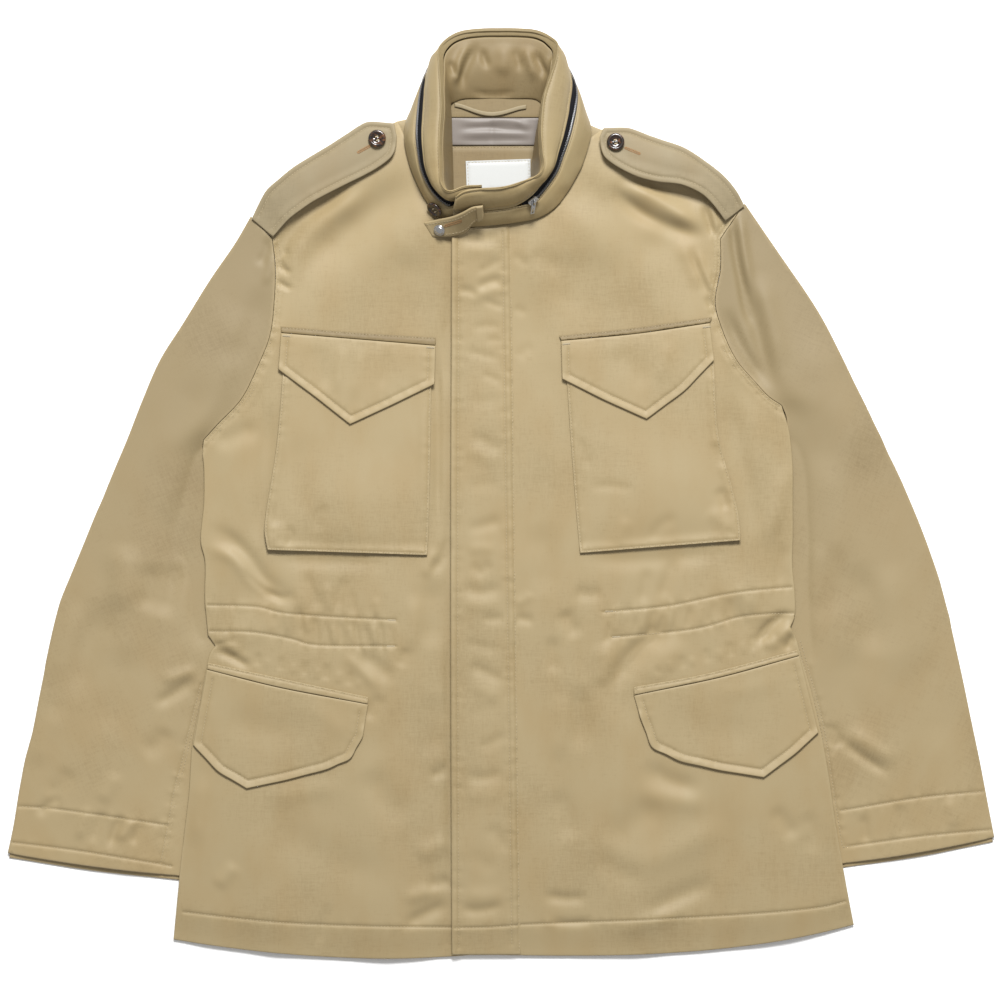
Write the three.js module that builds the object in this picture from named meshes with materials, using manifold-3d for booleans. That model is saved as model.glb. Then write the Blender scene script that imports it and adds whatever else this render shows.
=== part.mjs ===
// A field jacket laid flat on its back, with its collar standing round the open neck.
// Units are millimetres. +Z is up, +Y runs from the hem to the collar, +X to the wearer's left sleeve.
// The floor is at Z = 0 and the origin is in the middle of the jacket's outline.

import * as THREE from 'three';
import { mergeVertices } from 'three/addons/utils/BufferGeometryUtils.js';
import Module from 'manifold-3d';

// Driving dimensions
const CLOTH = 1.6; // body cloth with its lining
const TRIM = 1.2; // flaps, straps, pockets and strips
const SEAM_GAP = 0.4; // between pieces sewn edge to edge
const LAY_GAP = 0.6; // between a piece and what it lies on
const FRONT_REST = 4.0; // underside of the wearer's left front at its side edge
const FRONT_PUFF = 1.4; // how far the fronts rise inside their edges
const EDGE_FALL = 40; // width over which they rise
const LAP_DROP = 2.1; // how much lower the wearer's right front lies under the left one
const NECK_RISE = 6.0; // rise of the fronts round the collar
const SIDE_TUCK = 4.0; // how far the sleeves reach under the body's side edges
const ROW_STEP = 27; // mesh spacing along the body
const BODY_COLUMNS = 14; // mesh columns across one front

const PLACKET_LEFT = -46.5;
const PLACKET_TOP_RIGHT = 10;
const PLACKET_HEM_RIGHT = 19;

const BUTTON_RADIUS = 8.3;
const BUTTON_THICKNESS = 3.0;
const BUTTON_HOLE_RADIUS = 0.9;
const BUTTON_HOLE_SPACING = 1.75;
const SNAP_RADIUS = 5.4;
const SNAP_HEIGHT = 3.4;

const ZIP_HALF_WIDTH = 3.6;
const COLLAR_BULGE = 2.5;

// Materials
const material = (color, roughness, metalness = 0) =>
  new THREE.MeshStandardMaterial({ color, roughness, metalness });
const TAN = material(0xc4ad7e, 0.72);
const LINING = material(0xa2948a, 0.4);
const LABEL = material(0xf2f2ee, 0.6);
const HORN = material(0x2b1a12, 0.25);
const STEEL = material(0xc9cbcc, 0.3, 1);
const TAPE = material(0x1c1d20, 0.7);

// Small helpers
const table = (columns, rows) =>
  rows.map((row) => Object.fromEntries(columns.map((name, i) => [name, row[i]])));
const lerp = THREE.MathUtils.lerp;
const clamp = THREE.MathUtils.clamp;
const smooth = (x) => THREE.MathUtils.smoothstep(x, 0, 1);
const spread = (count) => Array.from({ length: count }, (_, i) => i / (count - 1));
const arch = (u) => 4 * u * (1 - u); // 0 at both ends, 1 in the middle
const point = (x, y, z = 0) => new THREE.Vector3(x, y, z);

// Reads a column of a table at a fractional row
function column(rows, name, at) {
  const i = Math.min(Math.floor(at), rows.length - 2);
  return lerp(rows[i][name], rows[i + 1][name], at - i);
}

// A smooth curve through two or three columns of a table, read at a fractional row
function curveThrough(rows, names) {
  const curve = new THREE.CatmullRomCurve3(rows.map((row) => point(...names.map((name) => row[name]))));
  return (at) => curve.getPoint(clamp(at / (rows.length - 1), 0, 1));
}

// One closed wall between two grids of points that have the same rows and columns
function wallGeometry(upper, lower) {
  const rows = upper.length;
  const columns = upper[0].length;
  const position = [];
  const triangle = (a, b, c) => [a, b, c].forEach((p) => position.push(p.x, p.y, p.z));
  const quad = (a, b, c, d) => {
    triangle(a, b, c);
    triangle(a, c, d);
  };
  for (let i = 0; i < rows - 1; i++) {
    for (let j = 0; j < columns - 1; j++) {
      // Both faces are split along the same diagonal, so that the wall keeps its thickness
      quad(upper[i][j], upper[i][j + 1], upper[i + 1][j + 1], upper[i + 1][j]);
      quad(lower[i][j], lower[i + 1][j], lower[i + 1][j + 1], lower[i][j + 1]);
    }
  }
  const rim = [];
  for (let j = 0; j < columns - 1; j++) rim.push([0, j, 0, j + 1]);
  for (let i = 0; i < rows - 1; i++) rim.push([i, columns - 1, i + 1, columns - 1]);
  for (let j = columns - 1; j > 0; j--) rim.push([rows - 1, j, rows - 1, j - 1]);
  for (let i = rows - 1; i > 0; i--) rim.push([i, 0, i - 1, 0]);
  rim.forEach(([i, j, m, n]) => quad(upper[i][j], lower[i][j], lower[m][n], upper[m][n]));
  return facingOut(position);
}

// Turns every face round where a closed body came out with its faces pointing in
function facingOut(position) {
  let volume = 0;
  for (let k = 0; k < position.length; k += 9) {
    const [a, b, c] = [0, 3, 6].map((n) => point(...position.slice(k + n, k + n + 3)));
    volume += a.dot(b.cross(c));
  }
  if (volume < 0) {
    for (let k = 0; k < position.length; k += 9) {
      const second = position.slice(k + 3, k + 6);
      position.splice(k + 3, 6, ...position.slice(k + 6, k + 9), ...second);
    }
  }
  const geometry = new THREE.BufferGeometry();
  geometry.setAttribute('position', new THREE.Float32BufferAttribute(position, 3));
  return mergeVertices(geometry, 1e-4);
}

const jacket = new THREE.Group();

function add(name, geometry, look, place) {
  geometry.deleteAttribute('normal');
  geometry.deleteAttribute('uv');
  geometry.computeVertexNormals();
  const mesh = new THREE.Mesh(geometry, look);
  mesh.name = name;
  if (place) mesh.applyMatrix4(place);
  jacket.add(mesh);
  return mesh;
}

// A flat-lying wall: a grid of plan points, the height of its underside and its thickness
function layPanel(name, plan, under, thickness, look) {
  const lower = plan.map((row, i) => row.map((p, j) => point(p.x, p.y, under(p.x, p.y, i, j))));
  const upper = lower.map((row) => row.map((p) => point(p.x, p.y, p.z + thickness)));
  return add(name, wallGeometry(upper, lower), look);
}

// Body outline in rows from the hem to the neck.
// right and left are the wearer's side edges. rightIn and leftIn are where a front's row ends at the
// middle or the neckline. edgeZ is the underside at the side edge and hem is the share of the hem's curve in the row.
const BODY = table(
  ['rightX', 'rightY', 'leftX', 'leftY', 'rightInX', 'rightInY', 'leftInX', 'leftInY', 'edgeZ', 'hem'],
  [
    [-311, -423, 335, -409, 8, -434, -40, -437, 4.0, 1],
    [-306, -372, 329, -378, 8, -385, -40, -385, 4.0, 0.7],
    [-301, -325, 319, -322, 8, -330, -40, -330, 4.0, 0.35],
    [-296, -282, 312, -273, 8, -282, -40, -282, 4.0, 0.1],
    [-293, -237, 303, -222, 8, -235, -40, -235, 4.0, 0],
    [-286, -200, 294, -185, 8, -197, -40, -197, 4.0, 0],
    [-280, -167, 285, -155, 8, -165, -40, -165, 4.0, 0],
    [-276, -151, 280, -137, 8, -148, -40, -148, 4.0, 0],
    [-271, -144, 274.5, -126, 8, -138, -40, -138, 4.0, 0],
    [-278, -134, 278.5, -117, 8, -126, -40, -126, 4.0, 0],
    [-281, -100, 279, -96, 8, -98, -40, -98, 4.0, 0],
    [-281, -63, 276.5, -68, 8, -66, -40, -66, 4.0, 0],
    [-285, -45, 277, -42, 8, -42, -40, -42, 4.0, 0],
    [-282, -8, 277, -8, 8, -8, -40, -8, 4.0, 0],
    [-282, 24, 276.5, 32, 8, 28, -40, 28, 4.0, 0],
    [-282, 51, 266, 84, 8, 62, -40, 66, 4.4, 0],
    [-268, 66.5, 254, 92, 8, 80, -40, 84, 5.0, 0],
    [-246, 90, 240, 107, 8, 98, -40, 101, 5.0, 0],
    [-230, 122, 223, 127, 8, 122, -40, 124, 5.0, 0],
    [-219, 150, 210, 155, 8, 148, -40, 150, 5.0, 0],
    [-215, 182, 203, 181, 8, 174, -40, 175, 5.0, 0],
    [-214, 215, 208, 213, 8, 200, -40, 202, 5.0, 0],
    [-217, 243, 208, 242, 8, 222, -40, 224, 4.6, 0],
    [-235, 261, 229, 273, 8, 243, -40, 245, 3.4, 0],
    [-218, 286, 212, 295, -16, 258, -22, 253, 2.3, 0],
    [-190, 309, 188, 315, -45, 261, 16, 258.5, 2.2, 0],
    [-157, 327, 158, 328, -62, 271, 44, 269, 2.2, 0],
    [-124, 342, 124, 339, -78, 296, 65, 297, 2.2, 0],
    [-98, 354, 96, 346, -89, 334, 80, 334, 2.2, 0],
  ],
);
const ARMPIT = 15;
const SHOULDER_TIP = 23;
const HEM_SAG = { right: -11.57, left: -13.5, back: -24 };

const sideCurve = {
  right: curveThrough(BODY, ['rightX', 'rightY']),
  left: curveThrough(BODY, ['leftX', 'leftY']),
};
const innerCurve = {
  right: curveThrough(BODY, ['rightInX', 'rightInY']),
  left: curveThrough(BODY, ['leftInX', 'leftInY']),
};

// Row places shared by every body panel and sleeve, so that seams use the same points
const BODY_ROWS = [0];
for (let i = 0; i < BODY.length - 1; i++) {
  const lengths = ['right', 'left'].map((side) => sideCurve[side](i).distanceTo(sideCurve[side](i + 1)));
  const parts = Math.max(1, Math.round(Math.max(...lengths) / ROW_STEP));
  for (let k = 1; k <= parts; k++) BODY_ROWS.push(i + k / parts);
}

// The body's side edge where it crosses a given Y
const sideRows = Object.fromEntries(
  ['right', 'left'].map((side) => [
    side,
    BODY_ROWS.map((at) => ({ at, x: sideCurve[side](at).x, y: sideCurve[side](at).y })),
  ]),
);
function sideAt(side, y) {
  const rows = sideRows[side];
  let i = 0;
  while (i < rows.length - 2 && rows[i + 1].y < y) i++;
  const share = clamp((y - rows[i].y) / (rows[i + 1].y - rows[i].y), 0, 1);
  return { x: lerp(rows[i].x, rows[i + 1].x, share), at: lerp(rows[i].at, rows[i + 1].at, share) };
}

// Largest folds of the fronts: a line from one place to another, the ridge's height (a trough's is negative)
// and its half width
const FOLDS = table(
  ['fromX', 'fromY', 'toX', 'toY', 'rise', 'width'],
  [
    [-86, 292, -190, 226, -2.6, 16],
    [-104, 308, -206, 250, 2.2, 15],
    [-70, 262, -150, 196, 2.0, 18],
    [92, 304, 205, 242, 2.8, 15],
    [88, 284, 190, 214, -2.2, 14],
    [72, 262, 150, 190, 2.0, 18],
    [-54, 150, -56, -72, -1.2, 12],
    [-282, -44, -202, -100, 3.4, 12],
    [-262, -68, -196, -112, -2.2, 12],
    [-272, -142, -214, -116, 3.0, 11],
    [274, -124, 226, -92, 3.0, 11],
    [262, -144, 226, -112, -2.0, 10],
    [108, -182, 150, -140, -1.4, 13],
    [88, -190, 124, -150, 1.4, 13],
    [40, 236, 62, 140, 2.0, 16],
    [58, 120, 40, -60, 1.4, 18],
    [-212, 236, -196, 170, 2.4, 11],
    [206, 236, 196, 170, 2.4, 11],
    [-250, 84, -246, 10, 1.8, 13],
    [246, 84, 252, 0, 1.8, 13],
    [-240, -300, -214, -420, 2.0, 18],
    [-120, -270, -110, -430, 2.2, 20],
    [110, -250, 120, -425, 2.2, 20],
    [240, -300, 262, -420, 2.0, 18],
    [60, -110, 70, -230, 1.6, 18],
    [-110, -110, -96, -190, 1.6, 16],
  ],
);

// Gathers of the drawn waist casing: short upright puckers between its two stitched rows
const GATHERS = [
  { fromX: -252, toX: -112, y: -107, count: 8 },
  { fromX: 106, toX: 246, y: -101, count: 8 },
];
const GATHER_RISE = 0.9;
const GATHER_HEIGHT = 20;

function foldHeight(x, y, folds) {
  let height = 0;
  for (const fold of folds) {
    const dx = fold.toX - fold.fromX;
    const dy = fold.toY - fold.fromY;
    const length = Math.hypot(dx, dy);
    const along = ((x - fold.fromX) * dx + (y - fold.fromY) * dy) / length;
    const across = ((x - fold.fromX) * dy - (y - fold.fromY) * dx) / length / fold.width;
    const beyond = Math.max(0, -along, along - length) / (1.6 * fold.width);
    height += fold.rise * Math.exp(-across * across - beyond * beyond);
  }
  return height;
}

function gatherHeight(x, y) {
  let height = 0;
  for (const row of GATHERS) {
    const share = (x - row.fromX) / (row.toX - row.fromX);
    if (share <= 0 || share >= 1) continue;
    const up = (y - row.y) / GATHER_HEIGHT;
    const wave = Math.sin(Math.PI * row.count * share) ** 2;
    height += GATHER_RISE * wave * Math.sin(Math.PI * share) * Math.exp(-up * up);
  }
  return height;
}

// Height of the underside of the fronts' visible cloth
function frontUnder(x, y) {
  const neck = Math.hypot((x + 5) / 100, (y - 312) / 78);
  const dome = NECK_RISE * smooth(2 - neck);
  const middle = FRONT_REST + FRONT_PUFF + dome + foldHeight(x, y, FOLDS) + gatherHeight(x, y);
  let under = middle;
  for (const side of ['right', 'left']) {
    const edge = sideAt(side, y);
    const inside = side === 'right' ? x - edge.x : edge.x - x;
    const edgeZ = column(BODY, 'edgeZ', edge.at);
    under = lerp(edgeZ, under, smooth(inside / EDGE_FALL));
  }
  return Math.max(under, 2.2);
}
const LAP_START = -74;
const LAP_FULL = -48;
function rightFrontUnder(x, y) {
  return frontUnder(x, y) - LAP_DROP * smooth((x - LAP_START) / (LAP_FULL - LAP_START));
}
const placketUnder = (x, y) => frontUnder(x, y) + CLOTH + LAY_GAP;

// Top of whatever cloth shows at a place on the body
function bodyTop(x, y) {
  const onPlacket = x > PLACKET_LEFT - 1 && x < placketRight(y) + 1;
  return onPlacket ? placketUnder(x, y) + TRIM : frontUnder(x, y) + CLOTH;
}
function placketRight(y) {
  return lerp(PLACKET_HEM_RIGHT, PLACKET_TOP_RIGHT, clamp((y + 439) / 690, 0, 1));
}

// Sag of a row: the hem's curve, deepest a little outside the middle of the row
function hemSag(at, u, depth, skew = 0) {
  return depth * column(BODY, 'hem', at) * arch(u) * (1 + skew * (1 - 2 * u));
}

// Columns stand closer together towards the side edge, where the cloth curves down
const BODY_SPREAD = spread(BODY_COLUMNS).map((u) => u ** 1.25);

// A body front between its side edge and its closing edge
function frontPlan(side) {
  return BODY_ROWS.map((at) => {
    const edge = sideCurve[side](at);
    const inner = innerCurve[side](at);
    return BODY_SPREAD.map((u) => {
      const p = edge.clone().lerp(inner, u);
      p.y += hemSag(at, u, HEM_SAG[side], side === 'left' ? 0.35 : -0.1);
      return p;
    });
  });
}

// The side edge moved sideways, outward for a positive distance
function movedEdge(side, at, distance) {
  const step = 0.02;
  const before = sideCurve[side](Math.max(at - step, 0));
  const after = sideCurve[side](Math.min(at + step, BODY.length - 1));
  const direction = after.sub(before).normalize();
  const outward = side === 'right' ? point(-direction.y, direction.x) : point(direction.y, -direction.x);
  return sideCurve[side](at).add(outward.multiplyScalar(distance));
}

// How far the back stays inside the body's edge: the sleeves reach under the body below the armhole
const backInset = (at) => lerp(SIDE_TUCK + 1, 0, smooth((at - ARMPIT + 0.5) / 0.5));
const NECK_SAG = 21;
const NECK_ROW_RIGHT = { x: -86, y: 357 };
const NECK_ROW_LEFT = { x: 82, y: 352 };

function backPlan() {
  const columns = 7;
  const rows = BODY_ROWS.map((at) => {
    const right = movedEdge('right', at, -backInset(at));
    const left = movedEdge('left', at, -backInset(at));
    return spread(columns).map((u) => {
      const p = right.clone().lerp(left, u);
      p.y += hemSag(at, u, HEM_SAG.back) + 3 * column(BODY, 'hem', at);
      return p;
    });
  });
  rows.push(
    spread(columns).map((u) => {
      const rounded = 1 - (2 * u - 1) ** 4;
      return point(
        lerp(NECK_ROW_RIGHT.x, NECK_ROW_LEFT.x, u),
        lerp(NECK_ROW_RIGHT.y, NECK_ROW_LEFT.y, u) + NECK_SAG * rounded,
      );
    }),
  );
  return rows;
}

layPanel('back', backPlan(), () => 0, CLOTH, TAN);
layPanel('front_right', frontPlan('right'), rightFrontUnder, CLOTH, TAN);
layPanel('front_left', frontPlan('left'), frontUnder, CLOTH, TAN);

// Placket: the flap that covers the closure, sewn down along its edge on the wearer's left
const PLACKET_ROWS = BODY_ROWS.filter((at) => at <= SHOULDER_TIP);
const placketPlan = PLACKET_ROWS.map((at) => {
  const y = innerCurve.left(at).y;
  const top = smooth((y - 150) / 92);
  return spread(5).map((u) => {
    const right = placketRight(y);
    const left = PLACKET_LEFT - 1.2 * Math.sin(Math.PI * clamp((y + 439) / 690, 0, 1));
    return point(lerp(left, right, u), y + top * lerp(4, 13.5, u));
  });
});
layPanel('placket', placketPlan, placketUnder, TRIM, TAN);

// Sleeves in rows from the shoulder to the cuff.
// at is the place on the body's side edge, tuck how far the sleeve reaches under the body there.
const SLEEVE = {
  right: table(
    ['outX', 'outY', 'at', 'tuck'],
    [
      [-237.5, 264, 23, -SEAM_GAP],
      [-252, 239, 22, -SEAM_GAP],
      [-276, 204, 21, -SEAM_GAP],
      [-302, 162, 20, -SEAM_GAP],
      [-324, 127, 19, -SEAM_GAP],
      [-341, 88, 18, -SEAM_GAP],
      [-355, 52, 17, -SEAM_GAP],
      [-366, 26, 16, -SEAM_GAP],
      [-375, 4, 15, -SEAM_GAP],
      [-379, -6, 14.7, -SEAM_GAP],
      [-384, -17, 14.3, SIDE_TUCK],
      [-395, -44, 13, SIDE_TUCK],
      [-409, -78, 12, SIDE_TUCK],
      [-418, -100, 11, SIDE_TUCK],
      [-426, -130, 10, SIDE_TUCK],
      [-432, -158, 9, SIDE_TUCK],
      [-434, -170, 8, SIDE_TUCK],
      [-436, -180, 7, SIDE_TUCK],
      [-439, -195, 6, SIDE_TUCK],
      [-445, -226, 5, SIDE_TUCK],
      [-452, -252, 4, SIDE_TUCK],
      [-458, -284, 3, SIDE_TUCK],
      [-463, -315, 2, SIDE_TUCK],
      [-468.5, -341, 1.2, 1],
    ],
  ),
  left: table(
    ['outX', 'outY', 'at', 'tuck'],
    [
      [231.5, 276, 23, -SEAM_GAP],
      [252, 246, 22, -SEAM_GAP],
      [272, 217, 21, -SEAM_GAP],
      [290, 191, 20, -SEAM_GAP],
      [305, 167, 19, -SEAM_GAP],
      [322, 134, 18, -SEAM_GAP],
      [336, 105, 17, -SEAM_GAP],
      [347, 83, 16, -SEAM_GAP],
      [355, 66, 15, -SEAM_GAP],
      [361, 54, 14.7, -SEAM_GAP],
      [368, 38, 14.3, SIDE_TUCK],
      [373, 28, 14, SIDE_TUCK],
      [381, 11, 13, SIDE_TUCK],
      [395, -22, 12, SIDE_TUCK],
      [405, -48, 11, SIDE_TUCK],
      [416, -80, 10, SIDE_TUCK],
      [423, -106, 9, SIDE_TUCK],
      [426, -117, 8, SIDE_TUCK],
      [428, -128, 7, SIDE_TUCK],
      [432, -146, 6, SIDE_TUCK],
      [439, -178, 5, SIDE_TUCK],
      [446, -212, 4, SIDE_TUCK],
      [455, -255, 3, SIDE_TUCK],
      [462, -292, 2.3, SIDE_TUCK],
      [468.5, -326, 1.5, 1.5],
    ],
  ),
};
const SLEEVE_SPREAD = [0, 0.1, 0.28, 0.5, 0.72, 0.9, 1];
const TUCK_COLUMN = 2.5; // how far outside the body's edge a sleeve is already flat
const SLEEVE_REST = CLOTH + 0.4;
const SLEEVE_PUFF = 3.6;
const SLEEVE_EDGE = 34;
const CUFF_SAG = 2;
const UNDER_CUFF = 4.2;

// Long soft folds of a sleeve: u is the place across it, from 0 outside to 1 inside
const SLEEVE_FOLDS = table(
  ['u', 'slope', 'from', 'to', 'rise', 'width'],
  [
    [0.8, -0.006, 3, 12, 2.2, 0.09],
    [0.58, 0.004, 5, 15, -1.6, 0.1],
    [0.42, -0.004, 8, 20, 1.8, 0.11],
    [0.76, 0.003, 14, 23, 1.5, 0.08],
    [0.24, 0.003, 12, 22, -1.0, 0.08],
  ],
);

function sleeveFold(u, row) {
  return SLEEVE_FOLDS.reduce((height, fold) => {
    const across = (u - fold.u - fold.slope * (row - fold.from)) / fold.width;
    const beyond = Math.max(0, fold.from - row, row - fold.to) / 2;
    return height + fold.rise * Math.exp(-across * across - beyond * beyond);
  }, 0);
}

function sleeveRow(side, row) {
  const rows = SLEEVE[side];
  const outer = curveThrough(rows, ['outX', 'outY'])(row);
  return { outer, at: column(rows, 'at', row), tuck: column(rows, 'tuck', row) };
}

function addSleeve(side) {
  const count = SLEEVE[side].length;
  const lastRow = count - 1;
  const places = SLEEVE[side].map((_, row) => row);
  // The cuff end curves a little, and the longest stretches get a row between
  const more = places.flatMap((row) => (row > 10 && row < lastRow && row % 2 ? [row, row + 0.5] : [row]));
  const span = (row) => {
    const { outer, at, tuck } = sleeveRow(side, row);
    return { length: outer.distanceTo(movedEdge(side, at, -tuck)), flat: Math.max(tuck + TUCK_COLUMN, 1) };
  };
  // Places across a row: the last but one is where the sleeve comes out from under the body
  const across = (row) => {
    const { length, flat } = span(row);
    const open = 1 - Math.min(flat / length, 0.4);
    return [...SLEEVE_SPREAD.map((u) => u * open), 1];
  };
  const plan = (outerInset, extra, places, rows) =>
    rows.map((row) => {
      const { outer, at, tuck } = sleeveRow(side, row);
      const inner = movedEdge(side, at, -tuck);
      const start = outer.clone().addScaledVector(inner.clone().sub(outer).normalize(), outerInset);
      const cuffShare = smooth((row - lastRow + 3) / 3);
      return places(row).map((u) => {
        const p = start.clone().lerp(inner, u);
        p.y -= cuffShare * (CUFF_SAG * arch(u) + extra);
        return p;
      });
    });
  const innerZ = (row) => {
    const { at, tuck } = sleeveRow(side, row);
    const joined = clamp((-tuck + SEAM_GAP) / (2 * SEAM_GAP), 0, 1) * smooth((at - ARMPIT + 0.6) / 1.2);
    return lerp(SLEEVE_REST, column(BODY, 'edgeZ', at), joined);
  };
  layPanel(
    `sleeve_${side}_top`,
    plan(0, 0, across, more),
    (x, y, i, j) => {
      const row = more[i];
      const u = across(row)[j];
      const { length, flat } = span(row);
      const fromFlat = (1 - u) * length - flat;
      const width = clamp(row / 5, 0.15, 1);
      const cuff = 1 - 0.45 * smooth((row - lastRow + 4) / 4);
      const rise = smooth((u * length) / SLEEVE_EDGE) * smooth(fromFlat / SLEEVE_EDGE);
      const raised = width * rise * (SLEEVE_PUFF * cuff + sleeveFold(u, row));
      return Math.max(SLEEVE_REST, lerp(SLEEVE_REST, innerZ(row), smooth(u)) + raised);
    },
    CLOTH,
    TAN,
  );
  layPanel(`sleeve_${side}_under`, plan(1.2, UNDER_CUFF, () => [0, 0.5, 1], places), () => 0, CLOTH, TAN);
}
['right', 'left'].forEach(addSleeve);

// A patch between an upper and a lower edge, both given as short tables of places
function patchPlan(topEdge, bottomEdge, columns, rows) {
  const top = curveThrough(topEdge, ['x', 'y']);
  return rows.map((v) =>
    columns.map((u) => {
      const at = u * (bottomEdge.length - 1);
      const end = point(column(bottomEdge, 'x', at), column(bottomEdge, 'y', at));
      return top(u * (topEdge.length - 1)).lerp(end, v);
    }),
  );
}
const edgeOf = (rows) => table(['x', 'y'], rows);
const tableColumns = (rows, parts = 1) => spread((rows.length - 1) * parts + 1);

// Chest pockets. Each bag is rows of right and left edges from under its flap to its bottom.
const CHEST = {
  right: {
    bag: [
      [-207, 142, -64, 133],
      [-207, 113, -66, 100],
      [-213, 43, -67, 43],
      [-220, -1, -68, -6],
      [-224, -34, -69, -39],
      [-221, -53, -70, -58],
    ],
    top: edgeOf([[-209, 159], [-135, 153], [-62, 148.5]]),
    strip: edgeOf([[-208.5, 152.5], [-135, 146.5], [-62, 140.5]]),
    flap: edgeOf([[-211, 118], [-176, 92], [-143, 66], [-102, 85], [-63, 104]]),
  },
  left: {
    bag: [
      [60, 133, 200, 144],
      [62, 113, 202, 122],
      [65.5, 61, 206, 56],
      [69, 13, 217, 14],
      [72, -25, 225, -20],
      [75, -56, 227, -44],
    ],
    top: edgeOf([[55, 150], [130, 158], [200, 168]]),
    strip: edgeOf([[57, 145], [130, 152], [198, 162]]),
    flap: edgeOf([[58, 109], [98, 89], [138, 71], [174, 98], [202, 127]]),
  },
};
const FLAP_STEP = 0.09; // share of the flap over which it climbs onto the bag
const BAG_PUFF = 2.6;
const BAG_COLUMNS = 8;
const FLAP_ROWS = [0, FLAP_STEP, 0.36, 0.68, 1];
const bagTop = (x, y) => bodyTop(x, y) + LAY_GAP + TRIM;

function addChestPocket(side) {
  const chest = CHEST[side];
  const bagRows = table(['ax', 'ay', 'bx', 'by'], chest.bag);
  const near = curveThrough(bagRows, ['ax', 'ay']);
  const far = curveThrough(bagRows, ['bx', 'by']);
  const along = tableColumns(bagRows, 2);
  const bag = along.map((v) =>
    spread(BAG_COLUMNS).map((u) => near(v * (bagRows.length - 1)).lerp(far(v * (bagRows.length - 1)), u)),
  );
  layPanel(
    `chest_pocket_${side}`,
    bag,
    (x, y, i, j) => {
      const u = j / (BAG_COLUMNS - 1);
      const v = along[i];
      const full = smooth((v - 0.35) / 0.3) * smooth((1 - v) / 0.25);
      return bodyTop(x, y) + LAY_GAP + BAG_PUFF * arch(u) * full;
    },
    TRIM,
    TAN,
  );
  const flap = patchPlan(chest.strip, chest.flap, tableColumns(chest.flap, 2), FLAP_ROWS);
  layPanel(
    `chest_flap_${side}`,
    flap,
    (x, y, i) => bodyTop(x, y) + LAY_GAP + (TRIM + LAY_GAP) * smooth(FLAP_ROWS[i] / FLAP_STEP),
    TRIM,
    TAN,
  );
  const strip = patchPlan(chest.top, chest.strip, spread(7), [0, 0.5, 1]);
  strip[2].forEach((p) => p.y += SEAM_GAP);
  layPanel(`chest_strip_${side}`, strip, (x, y) => bodyTop(x, y) + LAY_GAP, TRIM + 0.6, TAN);
}
['right', 'left'].forEach(addChestPocket);

// Lower pockets: a welt along the slanted opening and a pointed flap that hangs from it
const LOWER = {
  right: {
    top: edgeOf([[-278, -160], [-203, -176], [-126, -192.5]]),
    welt: edgeOf([[-279, -166.5], [-211, -183.5], [-126, -199.5]]),
    flap: edgeOf([
      [-292, -238],
      [-268, -263],
      [-241, -279],
      [-205, -271.5],
      [-165, -261],
      [-143, -251],
      [-131, -230],
    ]),
  },
  left: {
    top: edgeOf([[126, -183], [192, -171], [280.5, -148]]),
    welt: edgeOf([[126, -191], [208, -174], [283, -153.5]]),
    flap: edgeOf([
      [132, -212],
      [143, -240],
      [170, -253.5],
      [208, -262],
      [249, -268.5],
      [279, -246],
      [301, -226],
    ]),
  },
};

function addLowerPocket(side) {
  const lower = LOWER[side];
  const welt = patchPlan(lower.top, lower.welt, spread(8), [0, 0.5, 1]);
  welt[2].forEach((p) => p.y += SEAM_GAP);
  layPanel(`lower_welt_${side}`, welt, (x, y) => bodyTop(x, y) + LAY_GAP, TRIM + 0.6, TAN);
  const flap = patchPlan(lower.welt, lower.flap, tableColumns(lower.flap, 2), [0, 0.2, 0.5, 0.8, 1]);
  layPanel(`lower_flap_${side}`, flap, (x, y) => bodyTop(x, y) + LAY_GAP, TRIM, TAN);
}
['right', 'left'].forEach(addLowerPocket);

// Epaulettes in rows from the armhole to the collar. lift is the height above the body's cloth.
const EPAULETTE = {
  right: table(
    ['upX', 'upY', 'lowX', 'lowY', 'z', 'arch'],
    [
      [-236.5, 261, -216, 243.5, 6.0, 0],
      [-223, 287, -201, 260, 10.5, 0.5],
      [-211, 298, -189, 269, 11.5, 1.5],
      [-196, 310, -177, 277, 12.5, 2.5],
      [-163, 330, -144, 294, 13.5, 3],
      [-143.5, 342.5, -122, 305, 14.5, 3],
      [-127, 352, -104, 318, 15.5, 2.5],
      [-113, 351.7, -100, 326, 16.5, 1.5],
      [-101, 350.5, -98.5, 338, 17.5, 0.5],
    ],
  ),
  left: table(
    ['upX', 'upY', 'lowX', 'lowY', 'z', 'arch'],
    [
      [231, 273, 212.5, 258.5, 6.0, 0],
      [224, 286, 203, 271, 10.5, 1],
      [211.5, 301, 191, 283, 12.0, 2.5],
      [193, 315.5, 170, 292.5, 13.5, 4],
      [173, 328, 151, 294.5, 15.0, 5],
      [154, 334.5, 134, 298, 16.0, 5],
      [138, 340, 119, 304, 17.0, 4],
      [121.6, 346, 98, 318, 17.5, 3],
      [108, 346.5, 94, 329, 18.0, 1.5],
      [97, 346, 93, 337, 18.5, 0.5],
    ],
  ),
};
const EPAULETTE_COLUMNS = 6;
const EPAULETTE_CLOTH = TRIM + 0.4;

// Underside of an epaulette at a fractional row and a place across it, from 0 above to 1 below
function epauletteUnder(side, row, u) {
  const rows = EPAULETTE[side];
  const at = (names) => curveThrough(rows, names)(row);
  const p = at(['upX', 'upY']).lerp(at(['lowX', 'lowY']), u);
  const crown = column(rows, 'arch', row) * arch(u);
  p.z = Math.max(column(rows, 'z', row) + crown - 2 * (1 - u), bodyTop(p.x, p.y) + LAY_GAP);
  return p;
}

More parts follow.
